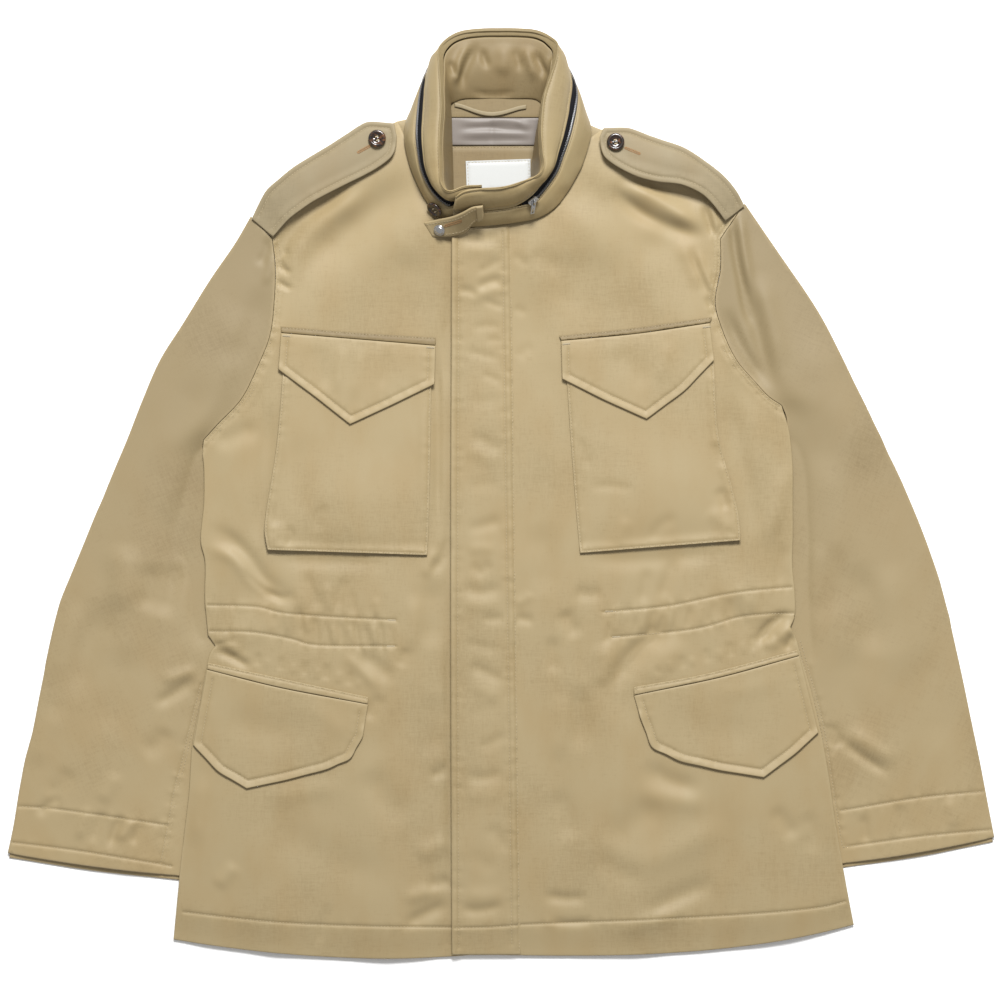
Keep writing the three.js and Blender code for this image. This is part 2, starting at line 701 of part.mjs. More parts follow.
function addEpaulette(side) {
  const last = EPAULETTE[side].length - 1;
  const lower = spread(last * 2 + 1).map((v) =>
    spread(EPAULETTE_COLUMNS).map((u) => epauletteUnder(side, v * last, u)),
  );
  const upper = lower.map((row) => row.map((p) => point(p.x, p.y, p.z + EPAULETTE_CLOTH)));
  add(`epaulette_${side}`, wallGeometry(upper, lower), TAN);
}
['right', 'left'].forEach(addEpaulette);

// Buttons: a round disc with a rolled edge and four holes
const onArc = (x, y, radius, turn) => {
  const angle = 2 * Math.PI * turn;
  return new THREE.Vector2(x + radius * Math.cos(angle), y + radius * Math.sin(angle));
};
const circle = (x, y, radius, sides) =>
  spread(sides + 1)
    .slice(1)
    .map((turn) => onArc(x, y, radius, turn));

function buttonGeometry(radius) {
  const bevel = 0.8;
  const outline = new THREE.Shape(circle(0, 0, radius - bevel, 18));
  for (const [x, y] of [[1, 1], [-1, 1], [-1, -1], [1, -1]]) {
    const hole = circle(x * BUTTON_HOLE_SPACING, y * BUTTON_HOLE_SPACING, BUTTON_HOLE_RADIUS + bevel / 2, 5);
    outline.holes.push(new THREE.Path(hole));
  }
  return new THREE.ExtrudeGeometry(outline, {
    depth: BUTTON_THICKNESS - 2 * bevel,
    bevelThickness: bevel,
    bevelSize: bevel,
    bevelSegments: 1,
  }).translate(0, 0, bevel);
}

// Seats a piece that is modelled on its own XY plane: middle, direction out of its face, and turn
function seated(middle, normal, turn = 0) {
  const tilt = new THREE.Quaternion().setFromUnitVectors(point(0, 0, 1), normal);
  const spin = new THREE.Quaternion().setFromAxisAngle(point(0, 0, 1), turn);
  return new THREE.Matrix4().compose(middle, tilt.multiply(spin), point(1, 1, 1));
}

// The button of each epaulette sits near its inner end: row and place across
const EPAULETTE_BUTTON = { right: { row: 5.95, u: 0.47, turn: 0.3 }, left: { row: 7.1, u: 0.52, turn: 0.2 } };
const BUTTON_LIFT = 0.9; // shank that keeps a button clear of the strap's curve
for (const [side, { row, u, turn }] of Object.entries(EPAULETTE_BUTTON)) {
  const along = epauletteUnder(side, row + 0.5, u).sub(epauletteUnder(side, row - 0.5, u));
  const across = epauletteUnder(side, row, u + 0.2).sub(epauletteUnder(side, row, u - 0.2));
  const normal = along.cross(across).normalize();
  if (normal.z < 0) normal.negate();
  const middle = epauletteUnder(side, row, u).addScaledVector(normal, EPAULETTE_CLOTH + BUTTON_LIFT);
  add(`epaulette_button_${side}`, buttonGeometry(BUTTON_RADIUS), HORN, seated(middle, normal, turn));
}

// Collar: stations round the neck from the end that lies underneath, round the back, to the end on top.
// base, zip and crest are on the outside and inner is the bottom of the inside.
// baseZ of -1 stands the base on the cloth under it.
const COLLAR = table(
  [
    ...['baseX', 'baseY', 'baseZ', 'zipX', 'zipY', 'zipZ'],
    ...['crestX', 'crestY', 'crestZ', 'innerX', 'innerY', 'innerZ', 'rim'],
  ],
  [
    [-18, 262, 13, -18, 276, 29, -18, 289.5, 46, -18, 275, 13, 3.6],
    [-34, 262, 13, -34, 276, 29, -34, 288.5, 46, -34, 275, 13, 3.6],
    [-48, 257, 14, -49, 273, 32, -47, 284, 48, -40, 272, 11, 4],
    [-61, 264, -1, -58.5, 279, 34, -52.5, 285, 51, -43, 273, 9, 6],
    [-71, 277, -1, -68.5, 291, 35, -56.5, 292, 52, -44.5, 285, 7, 6.5],
    [-79, 292, -1, -75, 306, 36, -57.3, 306, 52, -45, 303, 6, 6.5],
    [-87, 312, -1, -77.4, 321, 36, -58, 323, 52, -45.5, 322, 6, 6.5],
    [-91, 330, -1, -78.8, 338, 34, -57.3, 341.5, 50, -46, 340, 6, 6.5],
    [-91, 347, -1, -78, 360, 28, -56, 362, 46, -46.5, 357, 6, 6.5],
    [-87, 361, 5, -76, 382, 21, -57, 385, 40, -47, 370, 6, 6.5],
    [-78, 372, 2.6, -73, 398, 13, -58.5, 408, 32, -45, 375, 6, 9],
    [-66, 378, 0.6, -67, 410, 5, -58.6, 421.5, 24, -38, 378, 6, 9],
    [-50, 380, 0.1, -56, 415, 0.6, -50, 432, 18, -30, 379, 6, 9],
    [-34, 380, 0.1, -37, 418, 0.1, -38, 438, 15, -20, 379, 6, 9],
    [-17, 380, 0.1, -18, 419, 0.1, -19, 440.7, 14, -10, 379, 6, 9],
    [0, 380, 0.1, 0, 419, 0.1, -1, 441, 14, -1, 379, 6, 9],
    [17, 380, 0.1, 20, 419, 0.1, 19, 440.7, 14, 9, 379, 6, 9],
    [34, 380, 0.1, 38, 418, 0.1, 34, 439, 15, 17, 379, 6, 9],
    [50, 379, 0.1, 54, 415, 0.6, 45.5, 433.5, 18, 26, 379, 6, 9],
    [64, 376, 0.6, 61, 410, 5, 53, 426, 24, 33, 378, 6, 9],
    [75, 370, 2.6, 68, 398, 13, 52.5, 412, 32, 38, 374, 6, 9],
    [82, 359, 5, 71.5, 382, 21, 46, 391, 40, 39, 367, 6, 6.5],
    [86, 344, 15, 69.6, 366, 28, 40.5, 374, 46, 36, 356, 6, 6.5],
    [83, 328, -1, 66.5, 350.5, 33, 38, 353.5, 50, 33, 343, 6, 6.5],
    [77, 311, -1, 63, 336, 36, 37.5, 337, 52, 31, 329, 6, 6.5],
    [69, 296, -1, 57.5, 319.5, 37, 39, 320, 53, 29, 314, 6, 6.5],
    [61, 282, -1, 52.7, 306, 37, 40.3, 307.5, 54, 28, 298, 7, 6],
    [51, 270, -1, 42.5, 291, 36, 36.6, 300, 54.5, 26, 284, 9, 5],
    [36, 261, -1, 30, 277, 34, 18.8, 292, 55, 14, 270, 15, 4],
    [10, 255.6, -1, 13, 270, 33, 1, 287, 55, 4, 265, 17.5, 3.6],
    [-10, 253.5, -1, -10, 266.5, 32, -20, 285.5, 55, -14, 263, 17.5, 3.6],
    [-32, 252, -1, -34, 266, 32, -34.5, 283, 54, -32, 262.5, 17.5, 3.6],
    [-44, 251, -1, -45.5, 266, 31, -42.5, 278, 50, -41, 262, 17, 3.6],
  ],
);
const COLLAR_SEAT = 3.0; // base of the collar above the fronts, clear of their curve
COLLAR.forEach((row) => {
  if (row.baseZ < 0) row.baseZ = bodyTop(row.baseX, row.baseY) + COLLAR_SEAT;
});
const ZIP_FIRST = 2;
const ZIP_LAST = 28;
const COLLAR_CLOTH = 1.5;

const collarCurve = {
  base: curveThrough(COLLAR, ['baseX', 'baseY', 'baseZ']),
  zip: curveThrough(COLLAR, ['zipX', 'zipY', 'zipZ']),
  crest: curveThrough(COLLAR, ['crestX', 'crestY', 'crestZ']),
  inner: curveThrough(COLLAR, ['innerX', 'innerY', 'innerZ']),
};

// The places of one section, outside from base to crest and then down the inside
function collarSection(at) {
  const base = collarCurve.base(at);
  const zip = collarCurve.zip(at);
  const crest = collarCurve.crest(at);
  const inner = collarCurve.inner(at);
  const step = 0.3;
  const before = collarCurve.zip(Math.max(at - step, 0));
  const after = collarCurve.zip(Math.min(at + step, COLLAR.length - 1));
  const face = crest.clone().sub(base);
  const outward = face.clone().cross(after.sub(before)).normalize();
  // Where the outside lies on the floor it stays flat
  const bulge = smooth((outward.z + 0.8) / 0.6);
  const teeth = ZIP_HALF_WIDTH * clamp(Math.min(at - ZIP_FIRST + 1, ZIP_LAST + 1 - at), 0.02, 1);
  const below = zip.clone().sub(base).setLength(teeth);
  const above = crest.clone().sub(zip).setLength(teeth);
  const rimWidth = column(COLLAR, 'rim', at);
  const rim = crest.clone().addScaledVector(outward, -0.8 * rimWidth);
  rim.addScaledVector(inner.clone().sub(crest).normalize(), 0.7 * rimWidth);
  return [
    base,
    base.clone().lerp(zip, 0.5).addScaledVector(outward, 1.2 * bulge),
    zip.clone().sub(below),
    zip.clone().add(above),
    zip.clone().lerp(crest, 0.55).addScaledVector(outward, COLLAR_BULGE * bulge),
    crest,
    rim,
    rim.clone().lerp(inner, 0.5),
    inner,
  ];
}

const FLOOR_GAP = 0.1;
function collarPoint(at, place) {
  const p = new THREE.CatmullRomCurve3(collarSection(at)).getPoint(place / 8);
  p.z = Math.max(p.z, FLOOR_GAP);
  return p;
}

// Direction out of the collar's cloth at a place on its surface
function collarNormal(at, place) {
  const end = COLLAR.length - 1;
  const along = collarPoint(Math.min(at + 0.4, end), place).sub(collarPoint(Math.max(at - 0.4, 0), place));
  const across = collarPoint(at, Math.min(place + 0.15, 8)).sub(collarPoint(at, Math.max(place - 0.15, 0)));
  return across.cross(along).normalize();
}

const COLLAR_STATIONS = spread(COLLAR.length).map((v) => v * (COLLAR.length - 1));

// One wall of the collar between two places of its section, thickened towards the hollow
function addCollarWall(name, stations, sections, thickness, look) {
  const outer = stations.map((at) => sections.map((place) => collarPoint(at, place)));
  const inner = stations.map((at, i) =>
    sections.map((place, j) => outer[i][j].clone().addScaledVector(collarNormal(at, place), -thickness)),
  );
  return add(name, wallGeometry(outer, inner), look);
}

const zipStations = [ZIP_FIRST - 0.6, ...COLLAR_STATIONS.slice(ZIP_FIRST, ZIP_LAST + 1), ZIP_LAST + 0.6];
addCollarWall('collar_lower', COLLAR_STATIONS, [0, 1, 1.965], COLLAR_CLOTH, TAN);
addCollarWall('zip_band', zipStations, [2.1, 2.92], COLLAR_CLOTH, TAPE);
addCollarWall('collar_upper', COLLAR_STATIONS, [3.035, 3.6, 4.2, 4.7, 5, 5.4, 5.85], COLLAR_CLOTH, TAN);
addCollarWall('collar_inner', COLLAR_STATIONS, [5.97, 6.6, 7.3, 8], COLLAR_CLOTH, TAN);

// Inside of the neck: strips that lie on the back
const LAY_BACK = CLOTH + 0.4;
function backStrip(name, corners, z, thickness, look, rows = 2, columns = 5) {
  const [a, b, c, d] = corners.map(([x, y]) => point(x, y));
  const across = (v, u) => a.clone().lerp(b, u).lerp(d.clone().lerp(c, u), v);
  const plan = spread(rows).map((v) => spread(columns).map((u) => across(v, u)));
  return layPanel(name, plan, () => z, thickness, look);
}
backStrip('neck_strip', [[-56, 383], [52, 383], [60, 357.5], [-63, 357.5]], LAY_BACK, TRIM, TAN);
backStrip('neck_lining', [[-63, 357], [60, 357], [61, 331], [-64, 331]], LAY_BACK, TRIM, LINING, 4);
backStrip('yoke_facing', [[-64, 330.5], [61, 330.5], [60, 262], [-62, 262]], LAY_BACK, TRIM, TAN, 3);
const LAY_FACING = LAY_BACK + TRIM + 0.4;
backStrip('neck_label', [[-33.5, 316], [28, 318], [28, 288], [-32.5, 286]], LAY_FACING, 0.8, LABEL);

// Hanger loop: a narrow strap that sags between its two sewn ends
const LOOP_WIDTH = 4;
const LOOP_SAG = 8;
const LOOP_RISE = 1.2;
const LOOP_ROWS = 11;
const loopRows = spread(LOOP_ROWS).map((u) => {
  const x = lerp(-44, 24, u);
  const sag = LOOP_SAG * Math.sin(Math.PI * u) ** 1.5;
  const y = lerp(371.5, 369.5, u) - sag;
  return [point(x, y), point(x, y - LOOP_WIDTH)];
});
const loopUnder = (x, y, i) => LAY_FACING + 0.1 + LOOP_RISE * Math.sin((Math.PI * i) / (LOOP_ROWS - 1));
layPanel('hanger_loop', loopRows, loopUnder, TRIM, TAN);

// Throat tab: a strap from the collar's upper end down to its button on the wearer's right
const TAB = table(
  ['topX', 'topY', 'topZ', 'lowX', 'lowY', 'lowZ'],
  [
    [-73, 257, 15.5, -64.5, 243.5, 13.5],
    [-59, 259.5, 22.5, -55, 243.5, 15.5],
    [-46, 261.5, 32, -43.7, 244.5, 17.6],
    [-36, 265, 38.5, -34, 247.5, 18.2],
    [-27, 269.5, 42, -25, 256, 27],
    [-17, 271, 43, -16, 260.5, 33],
  ],
);
const TAB_CLOTH = TRIM + 0.4;
const tabTop = curveThrough(TAB, ['topX', 'topY', 'topZ']);
const tabLow = curveThrough(TAB, ['lowX', 'lowY', 'lowZ']);
const tabPoint = (row, u) => tabTop(row).lerp(tabLow(row), u);

function tabNormal(row, u) {
  const last = TAB.length - 1;
  const along = tabPoint(Math.min(row + 0.3, last), u).sub(tabPoint(Math.max(row - 0.3, 0), u));
  const across = tabTop(row).sub(tabLow(row));
  return along.cross(across).normalize();
}

// A strap on the tab's own surface, raised by a distance
function addTabWall(name, rows, across, raised, thickness) {
  const at = (height) =>
    rows.map((row) => across.map((u) => tabPoint(row, u).addScaledVector(tabNormal(row, u), height)));
  add(name, wallGeometry(at(raised + thickness), at(raised)), TAN);
}
addTabWall('throat_tab', spread(11).map((v) => 5 * v), [0, 0.33, 0.67, 1], 0, TAB_CLOTH);
addTabWall('tab_keeper', [4.35, 4.65, 4.95], [-0.04, 0.33, 0.67, 1.04], TAB_CLOTH + SEAM_GAP, TRIM);

// Dark button on the collar's lower band, half under the tab: station and place on the section
const COLLAR_BUTTON = { at: 3.1, place: 0.62, turn: 0.4, lift: 0.3 };
function collarButtonPlace() {
  const { at, place, turn, lift } = COLLAR_BUTTON;
  const normal = collarNormal(at, place);
  return seated(collarPoint(at, place).addScaledVector(normal, lift), normal, turn);
}
add('collar_button', buttonGeometry(BUTTON_RADIUS), HORN, collarButtonPlace());

// Domed metal button on the tab
function domeGeometry(radius, height) {
  const profile = [[0, 0], [radius * 0.8, 0], [radius, 0.5], [radius, 1.1]];
  for (const k of [1, 2, 3]) {
    const angle = (k * Math.PI) / 8;
    profile.push([radius * 0.92 * Math.cos(angle), 1.1 + (height - 1.1) * Math.sin(angle)]);
  }
  profile.push([0, height]);
  const lathe = new THREE.LatheGeometry(profile.map(([x, y]) => new THREE.Vector2(x, y)), 14);
  lathe.deleteAttribute('normal');
  lathe.deleteAttribute('uv');
  return mergeVertices(lathe.rotateX(Math.PI / 2), 1e-4);
}
const TAB_BUTTON = { row: 0.95, u: 0.56 };
const domeNormal = tabNormal(TAB_BUTTON.row, TAB_BUTTON.u);
const domeSeat = tabPoint(TAB_BUTTON.row, TAB_BUTTON.u).addScaledVector(domeNormal, TAB_CLOTH + BUTTON_LIFT);
add('tab_button', domeGeometry(SNAP_RADIUS, SNAP_HEIGHT), STEEL, seated(domeSeat, domeNormal));

// Zip slider at the open end of the zip, with a bridge that the pull hangs on
const SLIDER = { length: 10, width: 6.2, height: 2.4, corner: 1.4 };
const BRIDGE = { half: 3.05, leg: 0.9, eye: 1.5, bar: 0.8, width: 1.6 };
const PULL = { length: 14, width: 4.2, thickness: 0.9, holeStart: 0.45, holeEnd: 3.9, holeHalf: 1.2 };
const SLIDER_SEAT = 0.35;
const HANG = point(-0.05, -1, -0.6); // the way the pull hangs, before it is laid along the collar

const zipPlace = collarPoint(ZIP_LAST, 2.5);
const zipNormal = collarNormal(ZIP_LAST, 2.5);
const zipAlong = collarPoint(ZIP_LAST + 0.2, 2.5).sub(collarPoint(ZIP_LAST - 0.2, 2.5));
const flatten = (v) => v.clone().addScaledVector(zipNormal, -v.dot(zipNormal)).normalize();
const pullAlong = flatten(HANG);
const pullAxis = pullAlong.clone().cross(zipNormal);
const sliderTop = zipPlace.clone().addScaledVector(zipNormal, SLIDER_SEAT + SLIDER.height);
const pivot = sliderTop.clone().addScaledVector(zipNormal, BRIDGE.eye / 2);

const basis = (x, y, z, origin) => new THREE.Matrix4().makeBasis(x, y, z).setPosition(origin);

function roundedRectangle(x0, y0, x1, y1, corner) {
  const corners = [
    [x1 - corner, y1 - corner],
    [x0 + corner, y1 - corner],
    [x0 + corner, y0 + corner],
    [x1 - corner, y0 + corner],
  ];
  return corners.flatMap(([x, y], quarter) =>
    spread(4).map((share) => onArc(x, y, corner, (quarter + share) / 4)),
  );
}

const wasm = await Module();
wasm.setup();
function toSolid(geometry) {
  geometry.deleteAttribute('normal');
  geometry.deleteAttribute('uv');
  const merged = mergeVertices(geometry, 1e-4);
  const mesh = new wasm.Mesh({
    numProp: 3,
    vertProperties: merged.attributes.position.array,
    triVerts: new Uint32Array(merged.index.array),
  });
  return new wasm.Manifold(mesh);
}
function fromSolid(solid) {
  const mesh = solid.getMesh();
  const geometry = new THREE.BufferGeometry();
  geometry.setAttribute('position', new THREE.Float32BufferAttribute(mesh.vertProperties, 3));
  geometry.setIndex(Array.from(mesh.triVerts));
  return geometry;
}

function sliderGeometry() {
  const { length, width, height, corner } = SLIDER;
  const outline = new THREE.Shape(roundedRectangle(-length / 2, -width / 2, length / 2, width / 2, corner));
  const body = new THREE.ExtrudeGeometry(outline, { depth: height, bevelEnabled: false });
  const along = flatten(zipAlong);
  const seat = zipPlace.clone().addScaledVector(zipNormal, SLIDER_SEAT);
  body.applyMatrix4(basis(along, zipNormal.clone().cross(along), zipNormal, seat));
  const root = 0.5; // how deep the bridge's legs run into the body
  const top = BRIDGE.eye + BRIDGE.bar;
  const right = [
    [BRIDGE.half, -root],
    [BRIDGE.half, top - 0.9],
    [BRIDGE.half - 0.3, top - 0.3],
    [BRIDGE.half - 0.9, top],
  ];
  const left = right.map(([x, y]) => [-x, y]).reverse();
  const hoop = new THREE.Shape([...right, ...left].map(([x, y]) => new THREE.Vector2(x, y)));
  const eye = roundedRectangle(-BRIDGE.half + BRIDGE.leg, 0, BRIDGE.half - BRIDGE.leg, BRIDGE.eye, 0.3);
  hoop.holes.push(new THREE.Path(eye));
  const bridge = new THREE.ExtrudeGeometry(hoop, { depth: BRIDGE.width, bevelEnabled: false });
  bridge.translate(0, 0, -BRIDGE.width / 2).applyMatrix4(basis(pullAlong, zipNormal, pullAxis, sliderTop));
  return fromSolid(toSolid(body).add(toSolid(bridge)));
}
add('zip_slider', sliderGeometry(), STEEL);

// The pull: a narrow plate whose top bar passes through the slider's bridge
function pullGeometry() {
  const { length, width, thickness, holeStart, holeEnd, holeHalf } = PULL;
  const outline = new THREE.Shape(roundedRectangle(-thickness / 2, -width / 2, length, width / 2, 0.45));
  outline.holes.push(new THREE.Path(roundedRectangle(holeStart, -holeHalf, holeEnd, holeHalf, 0.3)));
  const tip = new THREE.Path(circle(length - 2.4, 0, 0.9, 8));
  outline.holes.push(tip);
  const plate = new THREE.ExtrudeGeometry(outline, { depth: thickness, bevelEnabled: false });
  const side = zipNormal.clone().cross(pullAlong);
  return plate.translate(0, 0, -thickness / 2).applyMatrix4(basis(pullAlong, side, zipNormal, pivot));
}
add('zip_pull', pullGeometry(), STEEL);

export default jacket;
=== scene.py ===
"""Field jacket, laid flat and fastened at the throat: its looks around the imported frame.

Lengths are in metres. A plan drawn from above is given in squares of SQUARE, across from the left
and down from the top of a sheet of 1000 by 1000, and plan() turns it into places in the frame.
"Right" and "left" are the wearer's.
"""

import math

import bmesh
import bpy
import numpy as np
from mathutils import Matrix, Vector
from mathutils.bvhtree import BVHTree
from mathutils.geometry import delaunay_2d_cdt
from mathutils.kdtree import KDTree


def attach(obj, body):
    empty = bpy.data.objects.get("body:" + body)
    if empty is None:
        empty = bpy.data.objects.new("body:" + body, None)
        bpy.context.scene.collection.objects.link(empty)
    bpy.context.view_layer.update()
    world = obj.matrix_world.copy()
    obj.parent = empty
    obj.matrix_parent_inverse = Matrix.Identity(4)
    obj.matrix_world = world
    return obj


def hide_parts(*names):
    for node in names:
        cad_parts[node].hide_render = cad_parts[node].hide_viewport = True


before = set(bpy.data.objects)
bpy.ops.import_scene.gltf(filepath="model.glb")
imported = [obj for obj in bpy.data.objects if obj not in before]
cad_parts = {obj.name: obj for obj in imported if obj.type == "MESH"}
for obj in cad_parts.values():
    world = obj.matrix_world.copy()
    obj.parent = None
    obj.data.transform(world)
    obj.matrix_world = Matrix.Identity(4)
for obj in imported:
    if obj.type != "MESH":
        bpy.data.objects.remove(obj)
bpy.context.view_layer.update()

MM = 0.001
SQUARE = 0.95 * MM
PLAN_CENTRE = (501, 494)
SEED = 11

# Thickness of the cloths
BODY_CLOTH = 1.6 * MM
TRIM_CLOTH = 1.2 * MM
COLLAR_CLOTH = 1.5 * MM
LABEL_CLOTH = 0.5 * MM

# Mesh spacing
FINE = 2.5 * MM
COARSE = 8 * MM
EDGE_RADIUS = 1.1 * MM
EDGE_INSETS = (0, 0.35 * MM, 1.0 * MM)
SEAM_ROUNDNESS = 0.25
SEWN_GAP = 3.5 * MM
SLOPE_STEP = 0.7 * MM

# Least distances between the places of a mesh, the last two as shares
ROW_TO_EDGE = 1.3 * MM
STITCH_TO_EDGE = 0.8 * MM
GRID_TO_ROW = 0.62
UNDERSIDE_TO_TOP = 0.6

# Sewing thread
STITCH_LENGTH = 2.3 * MM
STITCH_PITCH = 3.1 * MM
STITCH_WIDTH = 0.6 * MM
GROOVE_DEPTH = 0.9 * MM
GROOVE_WIDTH = 1.1 * MM
PUCKER_WIDTH = 5.5 * MM
PUCKER_LENGTH = 5 * MM
PUCKER_REACH = 2.2 * PUCKER_WIDTH
DOUBLE_ROW = 3.2 * MM
LINE_STEP = 1 * MM
SEAM_COLUMNS = (-2.4 * MM, -0.95 * MM, 0, 0.95 * MM, 2.4 * MM)

# Creases
CREASE_REACH = 2.6
CREASE_TAPER = 0.32
CREASE_WANDER = 0.22
WANDER_PERIOD = 38 * MM
GATHER_SHARE = 0.75
SWELL_HEIGHT, SWELL_PERIOD = 0.55 * MM, 85 * MM
RIPPLE_HEIGHT, RIPPLE_PERIOD = 0.22 * MM, 31 * MM

# Corners of an outline, in degrees of turn
CORNER_TURN = 26
FLAP_CORNER_TURN = {"right": 38, "left": 44}


# Small helpers
def plan(points):
    """Places (x, y) in the frame for points of the plan sheet."""
    p = np.atleast_2d(np.asarray(points, float))
    return np.stack([p[:, 0] - PLAN_CENTRE[0], PLAN_CENTRE[1] - p[:, 1]], 1) * SQUARE


def smooth(x):
    """A soft step from 0 to 1."""
    x = np.clip(x, 0, 1)
    return x * x * (3 - 2 * x)


def lengths_along(line):
    """How far along a line each of its places is."""
    return np.concatenate([[0], np.cumsum(np.linalg.norm(np.diff(line, axis=0), axis=1))])


def unit(v):
    return v / np.maximum(np.linalg.norm(v, axis=-1, keepdims=True), 1e-12)


def catmull(points, at):
    """Points at fractional places along a centripetal Catmull-Rom curve through the given ones."""
    p = np.asarray(points, float)
    at = np.clip(np.atleast_1d(np.asarray(at, float)), 0, len(p) - 1)
    i = np.minimum(at.astype(int), len(p) - 2)
    u = (at - i)[:, None]
    ends = np.vstack([2 * p[0] - p[1], p, 2 * p[-1] - p[-2]])
    a, b, c, d = (ends[i + k] for k in range(4))

    def gap(start, end):
        return np.maximum(np.linalg.norm(end - start, axis=1), 1e-9)[:, None] ** 0.5

    before, here, after = gap(a, b), gap(b, c), gap(c, d)
    leave = ((b - a) / before - (c - a) / (before + here) + (c - b) / here) * here
    arrive = ((c - b) / here - (d - b) / (here + after) + (d - c) / after) * here
    return b + leave * u + (3 * (c - b) - 2 * leave - arrive) * u**2 + (2 * (b - c) + leave + arrive) * u**3


def even(line, step):
    """The same line with points an even distance apart."""
    along = lengths_along(line)
    count = max(int(round(along[-1] / step)), 1)
    s = np.linspace(0, along[-1], count + 1)
    return np.stack([np.interp(s, along, line[:, k]) for k in range(line.shape[1])], 1)


def curve_line(points, step):
    """An even line on the smooth curve through the points."""
    points = np.asarray(points, float)
    if len(points) > 2:
        points = catmull(points, np.linspace(0, len(points) - 1, (len(points) - 1) * 12 + 1))
    return even(points, step)


def plan_tree(points):
    """A tree that finds the nearest of some plan points."""
    tree = KDTree(len(points))
    for k, (x, y) in enumerate(points):
        tree.insert((x, y, 0), k)
    tree.balance()
    return tree


def wobble(s, period, seed):
    """Smooth seeded noise between -1 and 1 along a length."""
    values = np.random.default_rng(SEED + seed).uniform(-1, 1, 512)
    x = np.asarray(s) / period
    i = np.floor(x).astype(int)
    u = smooth(x - i)
    return values[i % 512] * (1 - u) + values[(i + 1) % 512] * u


def plane_noise(xy, period, seed):
    """Smooth seeded noise between -1 and 1 over the plan."""
    values = np.random.default_rng(SEED + seed).uniform(-1, 1, (64, 64))
    x = xy / period
    i = np.floor(x).astype(int)
    u = smooth(x - i)
    a, b = i[:, 0] % 64, i[:, 1] % 64
    c, d = (a + 1) % 64, (b + 1) % 64
    low = values[a, b] * (1 - u[:, 0]) + values[c, b] * u[:, 0]
    high = values[a, d] * (1 - u[:, 0]) + values[c, d] * u[:, 0]
    return low * (1 - u[:, 1]) + high * u[:, 1]


